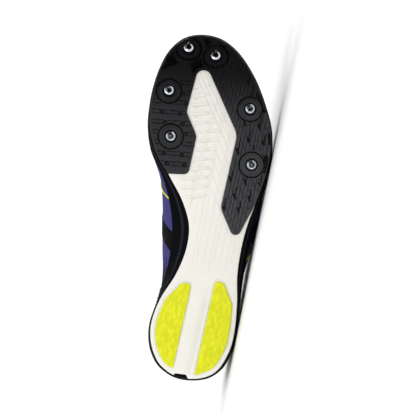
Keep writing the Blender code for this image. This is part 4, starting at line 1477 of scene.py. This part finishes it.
def make_saddles():
    """Plain straight-sided film panels from the rand to the eyestay, one a side."""
    climb = np.linspace(0, 1, SADDLE_RINGS)
    steps = np.concatenate([SADDLE_EDGE, np.linspace(0.06, 0.94, 14), 1 - SADDLE_EDGE[::-1]])
    lift = FILM_FOOT + SADDLE_THICKNESS * rounding(np.minimum(steps, 1 - steps) * 18.0, 0.5)
    shapes = []
    for edges in SADDLES:
        rear, front = (low + (high - low) * climb for low, high in edges)
        turns = rear[:, None] + (front - rear)[:, None] * steps
        shares = climb_to_stay((rear + front) / 2, SADDLE_FOOT, climb)
        shapes.append(skin(turns, shares[:, None], lift))
    points, faces = join(shapes)
    add_piece("saddle_panels", points, faces, MATTE_FILM, "overlay")


def make_pipings():
    """Slim yellow piping that climbs forward over the mesh, one a side."""
    climb = np.linspace(0, 1, PIPING_RINGS)
    cosines, sines = circle(10)
    shapes = []
    for low, high in PIPINGS:
        turns = low + (high - low) * climb
        shares = climb_to_stay(turns, PIPING_FOOT, climb)
        path, normal = rib_point(turns, shares), rib_normal(turns, shares)
        aside = np.cross(unit(np.gradient(path, axis=0)), normal) * PIPING_WIDTH / 2
        lift = relief_of_upper(turns, shares)[:, None] + 0.1 + PIPING_THICKNESS * np.maximum(-0.1, sines)
        shapes.append(tube(
            path[:, None] + aside[:, None] * cosines[:, None] + normal[:, None] * lift[..., None]
        ))
    points, faces = join(shapes)
    add_piece("piping", points, faces, YELLOW_FILM, "overlay")


def over_throat(stops, crown_height):
    """Points and normals at stops (turn, share, out) either side of the throat, with a crown between."""
    points = [upper_at(*stop) for stop in stops]
    normals = [rib_normal(turn, share) for turn, share, _ in stops]
    half = len(stops) // 2
    crown = unit(normals[half - 1] + normals[half])
    points.insert(half, (points[half - 1] + points[half]) / 2 + crown * crown_height)
    normals.insert(half, crown)
    return np.array(points), np.array(normals)


def tongue_section(row):
    """The top line of the tongue across the throat, and its normals."""
    places = [(row, share) for share in TONGUE_SHARES]
    places += [(RING_ROWS - row, share) for share in TONGUE_SHARES[::-1]]
    stops = [(*place, -wall_at(*place) - 2 * GAP) for place in places]
    top, normals = (smooth_through(rows, TONGUE_POINTS) for rows in over_throat(stops, TONGUE_CROWN))
    return top, unit(normals)


def about_middle(ring, scale):
    middle = ring.mean(0)
    return middle + (ring - middle) * scale


def tongue_rings():
    """Rings of the padded tongue from under the throat to its neck, then on to its thinning tip."""
    rings = []
    over = np.abs(np.linspace(-1, 1, TONGUE_POINTS))
    pillow = np.sqrt(np.maximum(0.0, 1 - over**6))
    half = TONGUE_THICKNESS / 2
    for k in range(TONGUE_RINGS + 1):
        row = THROAT_TURN + (COLLAR_TURN - THROAT_TURN) * k / TONGUE_RINGS
        wide = smooth(COLLAR_TURN, COLLAR_TURN + TONGUE_NECK_TURNS, row)
        top, normals = tongue_section(row)
        quilt = 0.25 * np.abs(np.sin(k * 0.52)) * (1 - over**3)
        above = top - normals * (half - (half + quilt * 0.5) * pillow)[:, None]
        below = top - normals * (half + half * pillow)[:, None]
        ring = np.concatenate([above, below[::-1][1:-1]])
        rings.append(about_middle(ring, TONGUE_NECK + (1 - TONGUE_NECK) * wide))
    neck = rings[-1]
    shifts = smooth_through(TONGUE_TIP, 22)[1:]
    for k, (*shift, width) in enumerate(shifts):
        thinned = 0.375 * smooth(0.80, 1.0, (k + 1) / len(shifts)) ** 2
        ring = about_middle(neck, width)
        last = TONGUE_POINTS - 1
        thick = ring[:last + 1] - np.concatenate([ring[:1], ring[last + 1:][::-1], ring[last:last + 1]])
        ring[:last + 1] -= thick * thinned
        ring[last + 1:] += thick[1:-1][::-1] * thinned
        rings.append(ring + np.array(shift))
    return np.array(rings)


def make_tongue():
    rings = tongue_rings()
    points, faces = tube(rings)
    count = rings.shape[1]
    girth = lengths_along(rings[TONGUE_RINGS // 2])
    girth = np.append(girth, girth[-1] + 1.0)
    run = lengths_along(rings[:, TONGUE_POINTS // 2])
    weave = []
    for face in faces:
        columns = [corner % count for corner in face]
        if len(face) == 4 and max(columns) - min(columns) > 2:
            columns = [column or count for column in columns]
        weave += [(girth[column], run[corner // count]) for column, corner in zip(columns, face)]
    add_piece("tongue_pad", points, faces, TONGUE_KNIT, "tongue", ("tongue",), weave=weave)


# Laces and stitching

def lace_strip(start_turn, end_turn, place):
    """A flat woven lace that comes up through one eyelet, crosses the tongue and goes down the other."""
    stack = place * LACE_STACK
    top = FILM_RISE + LACE_LIFT + stack
    slip = LACE_SLIP * (place % 4)
    half = (
        (7.0 + slip, -4.2, 3.0 - slip),
        (6.8 + slip, -0.6, 3.0 - slip),
        (6.2, 1.5, 3.6 - slip),
        (4.4, top, 5.0),
        (1.0, top + 0.1, LACE_WIDTH),
    )
    stops = []
    for turn, side in ((start_turn, half), (end_turn, half[::-1])):
        stops += [(turn, share_from_edge(turn, distance), out) for distance, out, _ in side]
    widths = [width for _, _, width in half]
    widths = np.array([*widths, LACE_WIDTH - stack, *widths[::-1]])[:, None]
    way, normals = over_throat(stops, LACE_CROWN)
    path, normal, width = (smooth_through(rows, LACE_RINGS) for rows in (way, normals, widths))
    run = unit(np.gradient(path, axis=0))
    aside = unit(np.cross(run, normal))
    up = np.cross(aside, run)
    thick = LACE_THICKNESS * (1 + 0.35 * (LACE_WIDTH - width) / LACE_WIDTH)
    cosines, sines = circle(16)
    flat = np.sign(cosines) * np.abs(cosines) ** 0.55 * width / 2
    bulge = np.sign(sines) * np.abs(sines) ** 0.75 * thick / 2
    points, faces = tube(path[:, None] + aside[:, None] * flat[..., None] + up[:, None] * bulge[..., None])
    spots = np.stack(np.broadcast_arrays(lengths_along(path)[:, None], flat), -1).reshape(-1, 2)
    return points, faces, spots


def make_lace():
    """A bar across the lowest eyelets, and a crossing from each pair to the next."""
    rows = EYELET_TURNS[::-1]
    ways = [(rows[0], RING_ROWS - rows[0])]
    for row, following in zip(rows, rows[1:]):
        ways += [(row, RING_ROWS - following), (RING_ROWS - row, following)]
    strips = [lace_strip(*way, place) for place, way in enumerate(ways)]
    points, faces = join(strip[:2] for strip in strips)
    spots = np.concatenate([strip[2] for strip in strips])
    weave = spots[np.concatenate(faces)]
    add_piece("flat_lace", points, faces, LACE_WEAVE, "lace", ("lace",), weave=weave)


def stitches(path, normal, length, gap, radius):
    """Small joined thread humps along a path on a surface."""
    travelled = lengths_along(path)
    starts = np.arange(0.5, travelled[-1] - length, length + gap)
    shares = np.linspace(0, 1, 6)
    at = starts[:, None] + shares * length
    centre, up = (
        np.stack([np.interp(at, travelled, rows[:, k]) for k in range(3)], -1) for rows in (path, normal)
    )
    up = unit(up)
    aside = unit(np.cross(unit(centre[:, -1:] - centre[:, :1]), up))
    arch = np.sin(shares * math.pi)
    rise = (arch**0.6 * 0.34 - 0.16)[:, None]
    fat = (0.45 + 0.55 * arch**0.5) * radius
    cosines, sines = circle(6)
    spokes = aside[:, :, None] * cosines[:, None] + up[:, :, None] * sines[:, None]
    rings = (centre + up * rise)[:, :, None] + spokes * fat[:, None, None]
    return join(tube(ring) for ring in rings)


def sew(name, seams, stitch, material, slot):
    """Rows of stitches as one piece, along seams (turns, shares, how far out of the upper)."""
    rows = []
    for turns, shares, out in seams:
        path = upper_at(turns, shares, relief_of_upper(turns, shares) + out)
        rows.append(stitches(path, rib_normal(turns, shares), *stitch))
    points, faces = join(rows)
    add_piece(name, points, faces, material, slot)


def make_stitching():
    film = FILM_FOOT + FILM_RISE
    stay = np.linspace(EYESTAY_TURN + 0.1, RING_ROWS - EYESTAY_TURN - 0.1, SEAM_POINTS)
    cup = np.linspace(-COUNTER_TURNS + 0.35, COUNTER_TURNS - 0.35, CUP_SEAM_POINTS)
    seams = [(stay, share_from_edge(stay, distance), film) for distance in EYESTAY_SEAMS]
    seams += [(cup, counter_top(cup) - distance / rib_length(cup), film) for distance in COUNTER_SEAMS]
    sew("film_stitches", seams, FILM_STITCH, BLACK_THREAD, "overlay")
    collar = np.linspace(-COLLAR_SEAM_TURNS, COLLAR_SEAM_TURNS, SEAM_POINTS)
    seams = [(collar, share_from_edge(collar, distance), 0.02) for distance in COLLAR_SEAMS]
    sew("collar_stitches", seams, COLLAR_STITCH, PALE_THREAD, "upper")


# Stage, camera and light, in metres, apart from the camera's target: a point of the shoe in millimetres

CAMERA_ROLL = math.radians(1.76)
CAMERA_TARGET = (141.0, 9.5, 5.0)
CAMERA_DISTANCE = 3.4
FRAME_WIDTH = 0.337
SENSOR = 36.0
FLOOR_REACH = 5.0
SWEEP_START = 2.6
SWEEP_RADIUS = 1.4
BACKDROP_HEIGHT = 4.5

# The lamps (name, place, aim, size, power), and the surround's strength: full, and on the toe's side
LIGHTS = (
    ("key", (-0.35, -1.9, 1.25), (0.0, 0.0, 0.05), (1.2, 1.2), 24.0),
    ("top", (0.1, 0.5, 1.7), (0.0, 0.0, 0.0), (1.6, 1.6), 12.0),
    ("backdrop", (0.0, 2.0, 2.4), (0.0, 3.2, 0.2), (5.0, 1.6), 62.0),
)
AMBIENT = (0.62, 0.06)
AMBIENT_TURN = (0.0, 0.6)


def make_camera():
    """Straight on to the sole, toe up, as the photograph has it."""
    along, lateral, up = (Vector(PLACE.to_3x3().col[k]) for k in range(3))
    right = along * math.sin(CAMERA_ROLL) + lateral * math.cos(CAMERA_ROLL)
    image_up = along * math.cos(CAMERA_ROLL) - lateral * math.sin(CAMERA_ROLL)
    data = bpy.data.cameras.new("camera")
    data.sensor_width = SENSOR
    data.lens = SENSOR * CAMERA_DISTANCE / FRAME_WIDTH
    camera = link("camera", data)
    spot = PLACE @ (Vector(CAMERA_TARGET) * MM) - up * CAMERA_DISTANCE
    camera.matrix_world = Matrix.Translation(spot) @ Matrix((right, image_up, -up)).transposed().to_4x4()
    bpy.context.scene.camera = camera


def make_floor():
    """A pale floor that sweeps up far behind the shoe."""
    profile = [(-FLOOR_REACH, 0.0)]
    for bend in np.linspace(0, math.pi / 2, 24):
        profile.append((SWEEP_START + SWEEP_RADIUS * math.sin(bend), SWEEP_RADIUS * (1 - math.cos(bend))))
    profile.append((SWEEP_START + SWEEP_RADIUS, BACKDROP_HEIGHT))
    points = [(x, y, z) for y, z in profile for x in (-FLOOR_REACH, FLOOR_REACH)]
    mesh = new_mesh("floor", points, grid_faces(len(profile), 2).tolist())
    mesh.materials.append(pale_floor())
    mesh.shade_smooth()
    floor = link("floor", mesh)


def make_light():
    """Three soft lamps, and a white surround that is dimmer on the toe's side."""
    world = bpy.data.worlds.new("studio")
    look = Look(world, "Background")
    look.shader.inputs["Color"].default_value = (1.0, 1.0, 1.0, 1.0)
    heading = look.add("ShaderNodeSeparateXYZ", {0: look.coordinates["Generated"]}).outputs[0]
    look.link(look.ramp(heading, *AMBIENT_TURN, *AMBIENT), "Strength")
    bpy.context.scene.world = world
    for name, spot, aim, size, power in LIGHTS:
        data = bpy.data.lights.new(name, "AREA")
        data.shape = "RECTANGLE"
        data.size, data.size_y = size
        data.energy = power
        light = link(name, data)
        light.location = spot
        light.rotation_euler = (Vector(aim) - Vector(spot)).to_track_quat("-Z", "Y").to_euler()
    bpy.context.scene.view_settings.view_transform = "Standard"


make_camera()
make_floor()
make_light()
make_base()
make_pads()
make_plate()
make_pins()
make_midsole()
make_insole()
make_upper()
make_counter()
make_eyestay()
make_saddles()
make_pipings()
make_tongue()
make_lace()
make_stitching()
